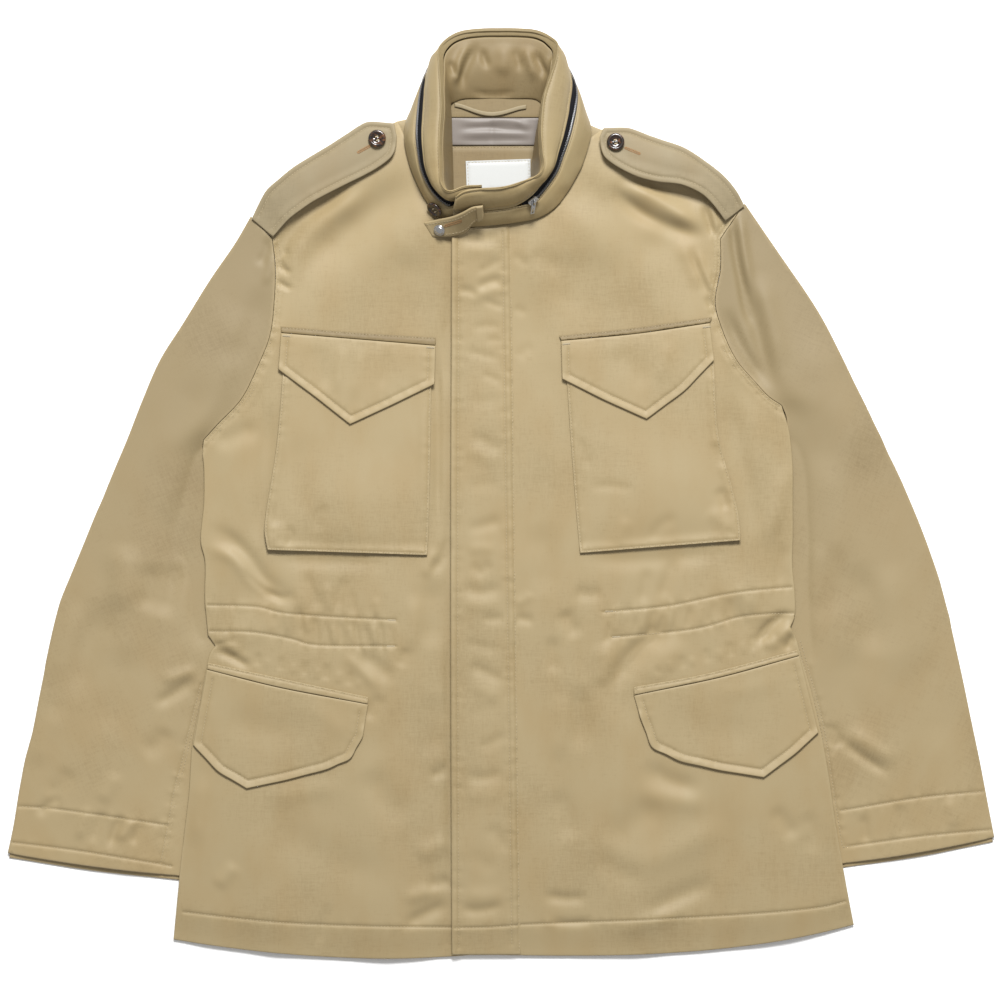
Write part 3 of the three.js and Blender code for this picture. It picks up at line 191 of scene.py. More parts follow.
# Creases of the fronts and the placket
BODY_CREASES = [
    # Wearer's right: shoulder, armhole and side
    ([(418, 178), (385, 205), (350, 232), (302, 282)], 15, -2.6),
    ([(378, 184), (340, 212), (304, 246), (288, 288)], 9, 2.0),
    ([(368, 178), (330, 200), (297, 224), (281, 250), (277, 292)], 8, -3.2, 0.8),
    ([(440, 196), (424, 232), (400, 268)], 16, 1.4),
    ([(275, 244), (282, 251), (290, 254)], 2.3, -1.7),
    ([(277, 262), (285, 270), (292, 274)], 2.3, -1.8),
    ([(277, 280), (286, 287), (294, 288)], 2.2, -1.5),
    ([(284, 292), (276, 330), (262, 372), (224, 422)], 8, 1.3, 1.4),
    ([(212, 446), (236, 436), (262, 424)], 8, -1.3),
    ([(203, 528), (226, 536), (248, 556), (268, 584), (300, 596)], 6.5, -2.4, 1.7),
    ([(203, 546), (232, 556), (254, 580), (284, 602)], 6, 1.8),
    ([(262, 590), (280, 597), (300, 596)], 4.5, -1.5),
    ([(240, 566), (262, 588), (292, 604)], 3, -0.9),
    ([(212, 648), (230, 656), (254, 668)], 3.5, -2.0),
    ([(211, 638), (226, 642), (242, 654)], 4, 1.6),
    ([(212, 646), (222, 643), (236, 640)], 2.5, -1.2),
    ([(436, 330), (438, 420), (438, 500), (440, 548)], 4.2, -1.7),
    ([(446, 340), (447, 430), (446, 540)], 4, 1.0),
    ([(451, 536), (444, 554), (430, 576)], 4.6, -1.3),
    ([(440, 548), (430, 562), (424, 580)], 5, 1.2),
    ([(432, 576), (434, 612), (430, 652)], 11, -1.5),
    ([(412, 590), (414, 620), (408, 656)], 7, 1.2),
    ([(436, 690), (430, 726), (436, 760)], 12, -1.2),
    ([(448, 764), (440, 772), (428, 776)], 5, -1.5),
    ([(452, 838), (438, 846), (414, 856)], 8, 1.5),
    ([(453, 878), (440, 884), (424, 886)], 6, -1.8),
    ([(400, 900), (426, 892), (451, 886)], 6, 1.3),
    ([(402, 926), (426, 913), (452, 902)], 5, -1.8, 1.2),
    ([(270, 392), (267, 450), (262, 510), (258, 548)], 8, -1.8),
    ([(266, 556), (300, 560), (344, 561), (400, 562)], 7, -1.1),
    ([(306, 568), (312, 590), (322, 612)], 5.0, -1.0),
    ([(348, 574), (340, 594), (338, 614)], 4.6, -0.8),
    ([(326, 580), (328, 596), (332, 614)], 4.2, 0.8),
    ([(356, 652), (376, 664), (396, 684)], 7, -1.7),
    ([(340, 652), (360, 668), (382, 692)], 5, 1.1),
    ([(404, 646), (404, 656), (398, 668)], 5, -0.8),
    ([(384, 694), (374, 706), (368, 722)], 5, -1.0),
    ([(206, 770), (200, 800), (196, 850)], 7, 1.0),
    ([(258, 800), (300, 792), (348, 784)], 9, 1.0),
    ([(366, 766), (384, 796), (410, 824)], 12, -1.2),
    ([(250, 806), (300, 842), (356, 868), (410, 872)], 16, -1.2),
    ([(216, 888), (226, 876), (238, 862)], 6, 1.0),
    ([(330, 900), (322, 926), (318, 948)], 4, -0.9),
    ([(336, 452), (320, 480), (322, 520)], 14, -0.7),
    # Wearer's left: shoulder, armhole and side
    ([(604, 184), (640, 212), (672, 228), (712, 240)], 5.5, -3.4, 1.3),
    ([(622, 180), (652, 199), (684, 218), (708, 228)], 6.5, 2.8),
    ([(614, 178), (650, 186), (690, 198), (706, 210)], 6, -2.6),
    ([(702, 204), (708, 220), (714, 240)], 3, -1.8),
    ([(709, 200), (714, 218), (719, 236)], 3, 1.3),
    ([(688, 244), (696, 268), (712, 302)], 3, -1.3),
    ([(696, 246), (704, 270), (716, 298)], 3, 1.1),
    ([(676, 240), (690, 262), (700, 292)], 7, 1.2),
    ([(705, 296), (713, 308), (718, 318)], 3, -1.3),
    ([(722, 332), (742, 366), (778, 398)], 9, 1.5),
    ([(724, 246), (722, 270), (717, 296)], 4, -1.8),
    ([(540, 226), (580, 232), (628, 240)], 20, 1.2),
    ([(566, 250), (570, 280), (560, 312)], 14, -0.9),
    ([(724, 372), (736, 440), (750, 500), (752, 546)], 9, -1.4),
    ([(788, 458), (776, 510), (760, 552)], 9, 1.4),
    ([(786, 540), (780, 566), (784, 590)], 7, -0.9),
    ([(792, 610), (772, 624), (754, 646)], 4.2, -3.2),
    ([(796, 622), (780, 636), (764, 652)], 4.6, 2.2),
    ([(794, 634), (789, 642), (786, 652)], 3, -1.5),
    ([(676, 624), (648, 640), (624, 666), (610, 694)], 8.5, -3.0),
    ([(690, 640), (664, 660), (644, 686)], 9, 1.4),
    ([(600, 640), (606, 662), (598, 690)], 8, 1.3),
    ([(676, 556), (668, 578), (660, 604)], 6, -1.2),
    ([(648, 566), (644, 590), (640, 606)], 5, -0.9),
    ([(562, 608), (570, 624), (580, 638)], 7, -1.5),
    ([(572, 590), (588, 594), (606, 592)], 6, -1.2),
    ([(554, 634), (552, 656), (556, 676)], 6, -1.3),
    ([(578, 680), (582, 716), (578, 756)], 9, -1.3),
    ([(560, 690), (562, 726), (556, 764)], 7, 1.0),
    ([(640, 762), (668, 780), (704, 790)], 8, -1.5),
    ([(630, 790), (668, 798), (716, 806)], 9, 1.2),
    ([(662, 800), (634, 822), (606, 846)], 13, -1.6),
    ([(730, 820), (680, 848), (620, 872)], 12, 1.3),
    ([(590, 850), (618, 872), (650, 878)], 10, -1.0),
    ([(720, 880), (684, 894), (640, 914)], 7, -1.7, 1.3),
    ([(700, 902), (660, 918), (604, 930)], 8, 1.1),
    ([(770, 806), (784, 822), (796, 840)], 7, -1.2),
    ([(802, 810), (812, 830), (808, 856)], 7, -1.0),
    ([(540, 894), (566, 898), (592, 896)], 5, -1.4),
    ([(546, 920), (570, 922), (596, 920)], 3.5, -1.2),
    ([(548, 790), (564, 810), (572, 844)], 10, -1.2),
    ([(536, 520), (546, 560), (542, 600)], 13, -1.0),
    ([(572, 556), (620, 560), (690, 556), (742, 548)], 8, -1.3),
    ([(530, 250), (546, 262), (566, 266)], 9, -0.8),
    # The fronts sink beside the placket's free edge
    ([(449, 236), (448, 320), (448, 460), (448, 600)], 3.4, -1.3),
    ([(448, 520), (448, 640), (449, 780), (451, 950)], 3.4, -1.2),
    # Placket: drag wrinkles between its rows
    ([(458, 238), (478, 241), (502, 238)], 4.6, -0.6),
    ([(456, 250), (478, 252), (503, 250)], 5.8, 0.7),
    ([(474, 274), (488, 268), (504, 258)], 3.7, -0.8),
    ([(456, 290), (470, 292), (480, 299)], 3.7, -0.9),
    ([(476, 292), (486, 284), (505, 279)], 4.1, -1.2),
    ([(466, 301), (486, 293), (505, 290)], 4.6, 0.7),
    ([(482, 300), (492, 304), (505, 309)], 3.0, -0.6),
    ([(470, 330), (486, 326), (504, 328)], 3.7, -0.5),
    ([(484, 342), (494, 340), (505, 342)], 3.0, -0.4),
    ([(462, 350), (478, 354), (502, 360)], 3.7, -0.5),
    ([(480, 374), (492, 378), (504, 384)], 3.2, -0.6),
    ([(466, 400), (484, 402), (502, 398)], 5.2, -0.4),
    ([(468, 434), (486, 442), (505, 453)], 5.1, -0.9),
    ([(464, 448), (482, 456), (500, 466)], 5.8, 0.6),
    ([(464, 490), (482, 484), (504, 486)], 5.8, -0.4),
    ([(464, 530), (482, 526), (505, 519)], 5.3, -0.9),
    ([(466, 552), (480, 548), (498, 552)], 5.2, 0.6),
    ([(472, 560), (480, 572), (492, 560)], 4.6, -0.7),
    ([(458, 584), (480, 592), (506, 586)], 5.3, -0.9),
    ([(460, 602), (480, 606), (504, 602)], 5.8, 0.6),
    ([(480, 618), (492, 619), (507, 617)], 4.1, -0.8),
    ([(514, 616), (524, 619), (536, 620)], 4.4, -1.0),
    ([(512, 604), (524, 600), (534, 592)], 4.1, 0.6),
    ([(462, 640), (480, 646), (504, 650)], 4.6, -0.5),
    ([(466, 664), (484, 671), (506, 682)], 5.1, -1.0),
    ([(466, 682), (484, 690), (502, 700)], 5.8, 0.6),
    ([(464, 716), (482, 710), (504, 708)], 5.8, -0.4),
    ([(476, 748), (492, 742), (508, 732)], 4.6, -0.7),
    ([(462, 776), (484, 777), (508, 772)], 5.1, -1.1),
    ([(462, 792), (484, 795), (506, 790)], 6.9, 0.6),
    ([(486, 824), (498, 836), (508, 852)], 5.8, -0.7),
    ([(466, 850), (482, 862), (500, 868)], 6.9, -0.5),
    ([(462, 892), (482, 896), (508, 892)], 6.9, 0.8),
    ([(456, 904), (474, 910), (508, 904)], 4.6, -1.1),
    ([(512, 254), (520, 260), (530, 268)], 3.9, -0.6),
    ([(514, 306), (520, 311), (528, 313)], 3.7, -0.6),
    ([(516, 360), (526, 350), (536, 348)], 4.6, -0.4),
]

# Gathers in the waist casing: how their three places lean, then x, top, foot, half width and depth
WAIST_GATHERS = [
    ((-1.5, 1, 2), [
        (300, 604, 640, 2.6, -1.0), (307, 616, 634, 2.4, 0.9), (316, 612, 648, 2.8, -1.1),
        (327, 618, 650, 2.2, -1.0), (333, 622, 646, 2.2, 0.9), (341, 616, 654, 2.8, -1.2),
        (350, 624, 644, 2.2, 0.8), (357, 618, 656, 2.6, -1.2), (366, 624, 648, 2.2, -0.9),
        (374, 620, 652, 2.4, 0.8), (381, 616, 660, 2.8, -1.2), (391, 622, 650, 2.4, -0.9),
        (272, 596, 628, 3.4, -0.7), (286, 606, 634, 2.8, 0.7), (352, 588, 616, 3.2, -0.7),
        (376, 596, 618, 3.2, 0.7)]),
    ((3, 0, -3), [
        (608, 620, 646, 2.6, -0.9), (616, 612, 634, 2.4, 0.8), (625, 614, 648, 2.8, -1.0),
        (634, 616, 640, 2.4, -0.8), (643, 606, 634, 2.6, 0.8), (652, 604, 640, 2.8, -1.1),
        (661, 612, 636, 2.2, -0.9), (669, 604, 640, 2.4, 0.8), (677, 604, 636, 2.6, -1.0),
        (688, 606, 632, 2.4, -0.8), (700, 600, 628, 2.8, 0.7), (712, 600, 626, 3.2, -0.7),
        (728, 596, 622, 3.4, -0.6), (746, 594, 620, 3.4, 0.6)]),
]
for lean, gathers in WAIST_GATHERS:
    for x, top, low, width, depth in gathers:
        points = [(x + aside, y) for aside, y in zip(lean, (top, (top + low) / 2, low))]
        BODY_CREASES.append((points, width, depth * GATHER_SHARE))

SLEEVE_CREASES = [
    # Wearer's right
    ([(268, 236), (266, 252), (258, 268)], 3.8, -0.9),
    ([(272, 250), (270, 270), (264, 288)], 3.4, 0.6),
    ([(212, 426), (203, 470), (199, 530), (200, 600), (204, 660)], 8, -3.0),
    ([(244, 396), (214, 440), (188, 500), (170, 570), (150, 616)], 13, -1.7),
    ([(228, 396), (190, 462), (160, 530)], 14, 1.2),
    ([(150, 560), (152, 590), (140, 614)], 9, -1.4),
    ([(176, 560), (172, 590), (160, 620)], 8, -1.6),
    ([(126, 540), (124, 580), (120, 616)], 12, 1.4),
    ([(104, 596), (92, 640), (74, 704)], 11, -1.4),
    ([(82, 596), (66, 640), (52, 690)], 10, 1.1),
    ([(112, 550), (104, 600), (112, 650)], 9, -0.5),
    ([(196, 676), (180, 690), (152, 706)], 5, -1.5),
    ([(200, 668), (178, 676), (160, 682)], 5, 1.0),
    ([(168, 726), (160, 742), (140, 752)], 8, -1.0),
    ([(60, 706), (44, 740), (36, 770)], 9, 0.9),
    ([(240, 300), (214, 350), (186, 400)], 18, 0.9),
    ([(262, 284), (250, 330), (224, 372)], 10, -1.0),
    ([(130, 640), (120, 690), (104, 740)], 14, -0.8),
    ([(64, 796), (50, 804), (36, 816)], 4, -1.2),
    ([(92, 804), (84, 822), (78, 842)], 4, 0.9),
    ([(104, 808), (98, 826), (92, 846)], 4, -0.9),
    ([(124, 812), (116, 828), (110, 850)], 3.6, -1.4),
    ([(136, 816), (128, 828), (118, 842)], 3.6, 1.0),
    ([(144, 820), (138, 832), (132, 846)], 3.2, -1.0),
    ([(72, 766), (62, 784), (48, 798)], 7, -0.9),
    ([(118, 770), (110, 788), (100, 804)], 6, 0.9),
    # Wearer's left
    ([(786, 420), (795, 470), (798, 540), (799, 610), (812, 680)], 8, -3.4, 0.8),
    ([(731, 208), (735, 250), (744, 296), (750, 332)], 3.4, -2.4),
    ([(738, 206), (744, 252), (752, 296)], 4, 1.7),
    ([(744, 276), (756, 326), (768, 372), (780, 404)], 7, -2.4),
    ([(756, 270), (770, 320), (784, 372)], 9, 1.3),
    ([(724, 306), (736, 336), (752, 364), (770, 392)], 5, -1.8),
    ([(816, 540), (818, 574), (812, 610)], 8, 0.7),
    ([(832, 540), (838, 576), (834, 618)], 8, -0.6),
    ([(852, 560), (868, 600), (872, 660)], 11, -1.3),
    ([(886, 560), (896, 620), (900, 690)], 14, 1.0),
    ([(822, 450), (836, 520), (842, 580)], 14, 0.9),
    ([(836, 736), (858, 754), (892, 776)], 4, -1.3),
    ([(844, 728), (868, 744), (900, 764)], 6, 1.1),
    ([(826, 724), (834, 738), (842, 748)], 6, -1.2),
    ([(846, 640), (850, 690), (868, 740)], 12, -0.8),
    ([(920, 640), (930, 700), (940, 760)], 14, -0.8),
    ([(800, 320), (840, 400), (880, 480)], 20, 0.9),
    ([(898, 800), (902, 820), (906, 840)], 6, -0.8),
    ([(862, 812), (864, 826), (866, 846)], 4, -0.8),
    ([(946, 796), (952, 812), (956, 830)], 6, 0.8),
]

# Short puckers in the fronts above the lower welts: share along the welt, length, half width, depth
WELT_PUCKERS = [
    (0.14, 9, 2.6, -0.5), (0.22, 12, 2.2, 0.4), (0.3, 14, 2.8, -0.6), (0.36, 10, 2.0, 0.4),
    (0.45, 15, 3.0, -0.6), (0.53, 11, 2.4, 0.5), (0.6, 16, 2.6, -0.6), (0.68, 12, 2.2, 0.4),
    (0.74, 18, 3.2, -0.7), (0.82, 13, 2.4, 0.5), (0.89, 15, 2.8, -0.6), (0.95, 9, 2.0, 0.3),
]
for first, last, lean in [((211, 656), (366, 689), 2), ((636, 680), (795, 641), -3)]:
    for share, length, width, depth in WELT_PUCKERS:
        x = first[0] + (last[0] - first[0]) * share
        y = first[1] + (last[1] - first[1]) * share
        points = [(x, y + 1), (x + lean * 0.4, y - length * 0.5), (x + lean, y - length)]
        BODY_CREASES.append((points, width, depth))

# Folds of the flaps and pocket bags
TRIM_CREASES = [
    ([(318, 340), (320, 366), (330, 394)], 14, -1.1),
    ([(344, 342), (340, 368), (336, 396)], 5, 1.0),
    ([(362, 344), (358, 372), (352, 404)], 6, 0.7),
    ([(388, 346), (386, 368), (380, 392)], 4, -0.8),
    ([(288, 524), (292, 536), (286, 550)], 3.4, -1.1),
    ([(274, 520), (278, 536), (272, 546)], 7, 1.3),
    ([(330, 504), (318, 518), (322, 534)], 6, -0.8),
    ([(424, 388), (423, 450), (422, 520)], 4, 0.8),
    ([(304, 430), (296, 470), (300, 520)], 12, -0.7),
    ([(612, 346), (630, 366), (652, 388)], 13, -1.0),
    ([(668, 340), (664, 362), (656, 384)], 7, 0.8),
    ([(714, 440), (719, 456), (724, 470)], 5, -1.6),
    ([(718, 486), (724, 500), (728, 512)], 6, -1.5),
    ([(706, 508), (722, 522), (734, 534)], 8, 1.4),
    ([(578, 436), (584, 452), (588, 472)], 5, -1.0),
    ([(586, 488), (608, 486), (636, 490)], 5, -0.8),
    ([(680, 516), (662, 524), (646, 544)], 6, -0.8),
    ([(628, 516), (622, 530), (616, 548)], 7, 0.8),
    ([(214, 714), (260, 728), (322, 732)], 17, -1.5),
    ([(300, 700), (330, 720), (350, 742)], 10, 0.8),
    ([(664, 712), (710, 730), (770, 730)], 18, -1.1),
    ([(700, 690), (740, 690), (790, 676)], 10, 0.7),
]

LINING_CREASES = [
    ([(454, 121), (480, 124), (500, 121), (537, 126)], 3, 1.1),
    ([(454, 130), (484, 127), (512, 131), (537, 129)], 2.4, -1.0),
    ([(454, 135), (478, 134), (508, 133), (537, 136)], 3, 1.0),
    ([(454, 141), (486, 141), (520, 140), (537, 142)], 2.6, -0.7),
    ([(514, 120), (522, 125), (530, 130)], 2.6, 0.7),
    ([(491.5, 117), (492, 130), (491.5, 146)], 1.4, -0.6),
]

# Shallow ridges of the back and the under sleeves, which hollow their undersides
BACK_CREASES = [
    ([(300, 330), (330, 420), (320, 520)], 14, 1.2),
    ([(420, 240), (440, 330), (430, 420)], 12, 1.0),
    ([(560, 250), (590, 340), (640, 430)], 16, 1.3),
    ([(700, 330), (690, 430), (720, 520)], 12, 1.1),
    ([(260, 560), (320, 580), (380, 570)], 8, 1.4),
    ([(620, 600), (690, 590), (760, 610)], 8, 1.4),
    ([(480, 520), (500, 620), (490, 720)], 15, 1.1),
    ([(360, 640), (380, 730), (350, 820)], 13, 1.2),
    ([(600, 680), (640, 770), (630, 860)], 14, 1.3),
    ([(240, 700), (260, 780), (250, 860)], 10, 1.0),
    ([(740, 700), (760, 790), (770, 870)], 11, 1.0),
    ([(440, 800), (520, 850), (600, 900)], 12, 0.9),
]
UNDER_SLEEVE_CREASES = [
    ([(240, 300), (200, 380), (170, 460)], 10, 1.1),
    ([(150, 480), (120, 560), (100, 640)], 12, 1.2),
    ([(110, 660), (90, 730), (60, 790)], 10, 1.0),
    ([(170, 600), (150, 680), (140, 760)], 8, 0.9),
    ([(758, 290), (806, 370), (842, 450)], 11, 1.0),
    ([(850, 490), (884, 570), (896, 650)], 12, 1.3),
    ([(896, 670), (916, 740), (940, 780)], 9, 1.0),
    ([(834, 610), (852, 690), (862, 760)], 9, 1.1),
]

# The collar's inner back, seen from above
INNER_CREASES = [
    ([(480, 44), (471, 58), (464, 76), (461, 94)], 4.2, -4.6),
    ([(472, 42), (460, 62), (454, 88)], 4.0, 3.5),
    ([(484, 50), (484, 60), (490, 70)], 4, -2.6),
    ([(450, 62), (453, 70), (456, 80)], 3.2, -2.6),
    ([(500, 44), (504, 60), (500, 78)], 8, 2.3),
    ([(533, 52), (540, 66), (546, 82)], 3.6, -3.8),
    ([(524, 46), (530, 64), (536, 84)], 5, 2.6),
    ([(553, 44), (552, 52), (550, 64)], 2.8, -2.6),
    ([(512, 50), (518, 60), (520, 74)], 4, -2.0),
    ([(468, 92), (492, 96), (520, 93)], 3, -2.0),
]
COLLAR_CREASES = [
    ([(545, 182), (538, 190), (528, 198)], 3.4, -1.2),
    ([(536, 178), (526, 190), (516, 200)], 4, 1.0),
    ([(566, 84), (572, 100), (570, 118)], 6, -0.8),
    ([(428, 90), (426, 120), (430, 150)], 5, -0.7),
    ([(452, 204), (466, 198), (490, 196)], 4, 0.8),
]
STAND_CREASES = [
    ([(424, 176), (432, 196), (446, 214)], 4, -1.2),
    ([(506, 218), (522, 214), (544, 206)], 4, -1.4),
    ([(560, 196), (572, 178), (582, 158)], 6, 1.0),
    ([(566, 206), (578, 188), (588, 168)], 4, -1.0),
    ([(412, 110), (408, 130), (412, 156)], 6, 0.8),
]


def widened(creases, breadth, depth):
    """The same strokes, broader and deeper."""
    return [(points, width * breadth, height * depth, *spread) for points, width, height, *spread in creases]


def relief(xy, creases):
    """Height of the creases at plan places.

    A crease has plan points, a half width in squares and a depth in millimetres, a ridge where above 0.
    It may end with how much wider the side on the right of its direction is."""
    total = np.zeros(len(xy))
    for number, (points, width, depth, *spread) in enumerate(creases):
        width *= SQUARE
        spread = spread[0] if spread else 1
        line = curve_line(plan(points), max(width * 0.6, 3 * MM))
        reach = width * max(spread, 1) * CREASE_REACH
        near = np.all((xy > line.min(0) - reach) & (xy < line.max(0) + reach), axis=1)
        if not near.any():
            continue
        distance, along = measure(xy[near], line)
        share = along / lengths_along(line)[-1]
        taper = smooth(share / CREASE_TAPER) * smooth((1 - share) / CREASE_TAPER)
        wander = 1 + CREASE_WANDER * wobble(along, WANDER_PERIOD, number)
        side = np.where(distance < 0, spread, 1) * width
        total[near] += depth * MM * taper * wander * np.exp(-((distance / side) ** 2))
    return total


def measure(xy, line):
    """Signed distance of each place from the line, above 0 on its left, and how far along it is."""
    best = np.full(len(xy), np.inf)
    signed = np.zeros(len(xy))
    along = np.zeros(len(xy))
    starts = lengths_along(line)
    for k in range(len(line) - 1):
        ab = line[k + 1] - line[k]
        length = max(np.linalg.norm(ab), 1e-9)
        away = xy - line[k]
        t = np.clip(away @ ab / length**2, 0, 1)
        off = away - t[:, None] * ab
        distance = np.hypot(off[:, 0], off[:, 1])
        closer = distance < best
        best[closer] = distance[closer]
        turn = ab[0] * away[closer, 1] - ab[1] * away[closer, 0]
        signed[closer] = np.where(turn >= 0, 1, -1) * distance[closer]
        along[closer] = starts[k] + t[closer] * length
    return signed, along


# Reading the shape of a flat-lying node
def face_up(node):
    """The upward faces of a node: places and triangles."""
    joined = bmesh.new()
    joined.from_mesh(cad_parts[node].data)
    bmesh.ops.remove_doubles(joined, verts=joined.verts, dist=0.01 * MM)
    bmesh.ops.triangulate(joined, faces=joined.faces)
    joined.verts.index_update()
    places = np.array([v.co for v in joined.verts], float)
    triangles = np.array([[v.index for v in f.verts] for f in joined.faces])
    joined.free()
    a, b, c = (places[triangles[:, k]] for k in range(3))
    normal = unit(np.cross(b - a, c - a))
    upper = np.unique(triangles[normal[:, 2] > 0.3])
    return places, triangles[np.isin(triangles, upper).all(1)]


def boundary(triangles):
    """The outer loop of the triangles, counterclockwise, as indices."""
    edges = {(int(t[k]), int(t[(k + 1) % 3])) for t in triangles for k in range(3)}
    follow = {a: b for a, b in edges if (b, a) not in edges}
    loops = []
    while follow:
        start, here = next(iter(follow.items()))
        del follow[start]
        loop = [start]
        while here != start and here in follow:
            loop.append(here)
            here = follow.pop(here)
        loops.append(loop)
    return max(loops, key=len)


def closed_outline(points, step, corner_turn=CORNER_TURN):
    """A closed loop with smooth curves between its corners, its points an even distance apart.
    A corner turns by more than corner_turn degrees."""
    before = points - np.roll(points, 1, axis=0)
    after = np.roll(points, -1, axis=0) - points
    cross = before[:, 0] * after[:, 1] - before[:, 1] * after[:, 0]
    turn = np.abs(np.arctan2(cross, (before * after).sum(1)))
    corners = np.flatnonzero(turn > math.radians(corner_turn))
    if len(corners) == 0:
        corners = np.array([0])
    parts = []
    for k, start in enumerate(corners):
        end = corners[(k + 1) % len(corners)]
        count = (end - start) % len(points) or len(points)
        run = points[(start + np.arange(count + 1)) % len(points)]
        parts.append(curve_line(run, step)[:-1])
    return without_crossings(np.vstack(parts))


def without_crossings(loop):
    """The loop without the small turns where it would cross itself."""
    def turn(p, q, r):
        ahead, aside = q - p, r - p
        return ahead[..., 0] * aside[..., 1] - ahead[..., 1] * aside[..., 0]

    start = 0
    while start < len(loop) - 2:
        a, b = loop[start], loop[start + 1]
        c = loop[start + 2:]
        d = np.vstack([loop[start + 3:], loop[:1]])
        hit = (turn(a, b, c) * turn(a, b, d) < 0) & (turn(c, d, a) * turn(c, d, b) < 0)
        near = np.flatnonzero(hit[:len(loop) // 2])
        if len(near):
            loop = np.vstack([loop[:start + 1], loop[start + 3 + near[-1]:]])
        start += 1
    return loop


def inset(loop, distance):
    """A closed loop moved inwards, with its corners kept."""
    before = unit(loop - np.roll(loop, 1, axis=0))
    after = unit(np.roll(loop, -1, axis=0) - loop)
    left = unit(np.stack([-before[:, 1] - after[:, 1], before[:, 0] + after[:, 0]], 1))
    cosine = np.clip(left[:, 0] * -after[:, 1] + left[:, 1] * after[:, 0], 0.35, 1)
    return loop + left * (distance / cosine)[:, None]


class Heights:
    """Height of a node's upward face over the plan, free of its facets."""

    STEP = 3 * MM
    BLUR = 1.9

    def __init__(self, places, triangles):
        tree = BVHTree.FromPolygons([Vector(p) for p in places], [tuple(map(int, t)) for t in triangles])
        used = places[np.unique(triangles)]
        margin = 5 * self.STEP
        self.low = used[:, :2].min(0) - margin
        size = ((used[:, :2].max(0) + margin - self.low) / self.STEP).astype(int) + 2
        grid = np.full(size, np.nan)
        down = Vector((0, 0, -1))
        for i in range(size[0]):
            for j in range(size[1]):
                place = Vector((self.low[0] + i * self.STEP, self.low[1] + j * self.STEP, 1))
                hit = tree.ray_cast(place, down)[0]
                if hit is not None:
                    grid[i, j] = hit.z
        for _ in range(int(max(size))):
            if not np.isnan(grid).any():
                break
            known = ~np.isnan(grid)
            filled = np.where(known, grid, 0)
            total, count = np.zeros(grid.shape), np.zeros(grid.shape)
            for axis in (0, 1):
                for shift in (-1, 1):
                    total += np.roll(filled, shift, axis)
                    count += np.roll(known, shift, axis)
            grid = np.where(known, grid, np.where(count > 0, total / np.maximum(count, 1), np.nan))
        reach = int(3 * self.BLUR)
        weights = np.exp(-0.5 * (np.arange(-reach, reach + 1) / self.BLUR) ** 2)
        weights /= weights.sum()
        for axis in (0, 1):
            padded = np.pad(grid, [(reach, reach) if k == axis else (0, 0) for k in (0, 1)], mode="edge")
            length = grid.shape[axis]
            grid = sum(w * np.take(padded, np.arange(k, k + length), axis) for k, w in enumerate(weights))
        self.grid = grid

    def at(self, xy):
        p = (xy - self.low) / self.STEP
        p = np.clip(p, 0, np.array(self.grid.shape) - 1.001)
        i = p.astype(int)
        u = p - i
        g = self.grid
        low = g[i[:, 0], i[:, 1]] * (1 - u[:, 0]) + g[i[:, 0] + 1, i[:, 1]] * u[:, 0]
        high = g[i[:, 0], i[:, 1] + 1] * (1 - u[:, 0]) + g[i[:, 0] + 1, i[:, 1] + 1] * u[:, 0]
        return low * (1 - u[:, 1]) + high * u[:, 1]


# Meshes
def mesh_piece(name, places, faces, look, marks=None, weave=None):
    """A new piece from places and faces. marks is a value per place, weave a pair per place."""
    used = np.unique(np.fromiter((v for f in faces for v in f), int))
    number = np.zeros(len(places), int)
    number[used] = np.arange(len(used))
    number = number.tolist()
    faces = [[number[v] for v in f] for f in faces]
    places = np.asarray(places)[used]
    mesh = bpy.data.meshes.new(name)
    mesh.from_pydata(places.tolist(), [], faces)
    mesh.materials.append(look)
    mesh.polygons.foreach_set("use_smooth", [True] * len(mesh.polygons))
    if marks is not None:
        wear = mesh.attributes.new("wear", "FLOAT", "POINT")
        wear.data.foreach_set("value", np.asarray(marks, np.float32)[used])
    if weave is not None:
        layer = mesh.uv_layers.new(name="weave")
        corner = np.zeros(len(mesh.loops), int)
        mesh.loops.foreach_get("vertex_index", corner)
        layer.data.foreach_set("uv", np.asarray(weave, np.float32)[used][corner].ravel())
    mesh.update()
    piece = bpy.data.objects.new(name, mesh)
    bpy.context.scene.collection.objects.link(piece)
    return piece


def triangulate(points, loop_size):
    """Triangles over plan points inside the loop made by the first loop_size of them."""
    shaken = points + np.random.default_rng(SEED).uniform(-2e-6, 2e-6, points.shape)
    found = delaunay_2d_cdt([Vector(p) for p in shaken], [], [list(range(loop_size))], 1, 1e-9, True)
    source = [o[0] for o in found[3]]
    triangles = np.array([[source[k] for k in t] for t in found[2]])
    by_edge = np.flatnonzero((triangles < 3 * loop_size).any(1))
    middles = shaken[triangles[by_edge]].mean(1)
    outside = by_edge[~in_loop(middles, shaken[:loop_size])]
    return np.delete(triangles, outside, axis=0).tolist()


def in_loop(points, loop):
    """Which points lie inside the closed loop."""
    crossings = np.zeros(len(points), int)
    for (ax, ay), (bx, by) in zip(loop, np.roll(loop, -1, axis=0)):
        if ay == by:
            continue
        cut = (ay <= points[:, 1]) != (by <= points[:, 1])
        crossings += cut & (points[:, 0] < ax + (points[:, 1] - ay) / (by - ay) * (bx - ax))
    return crossings % 2 == 1


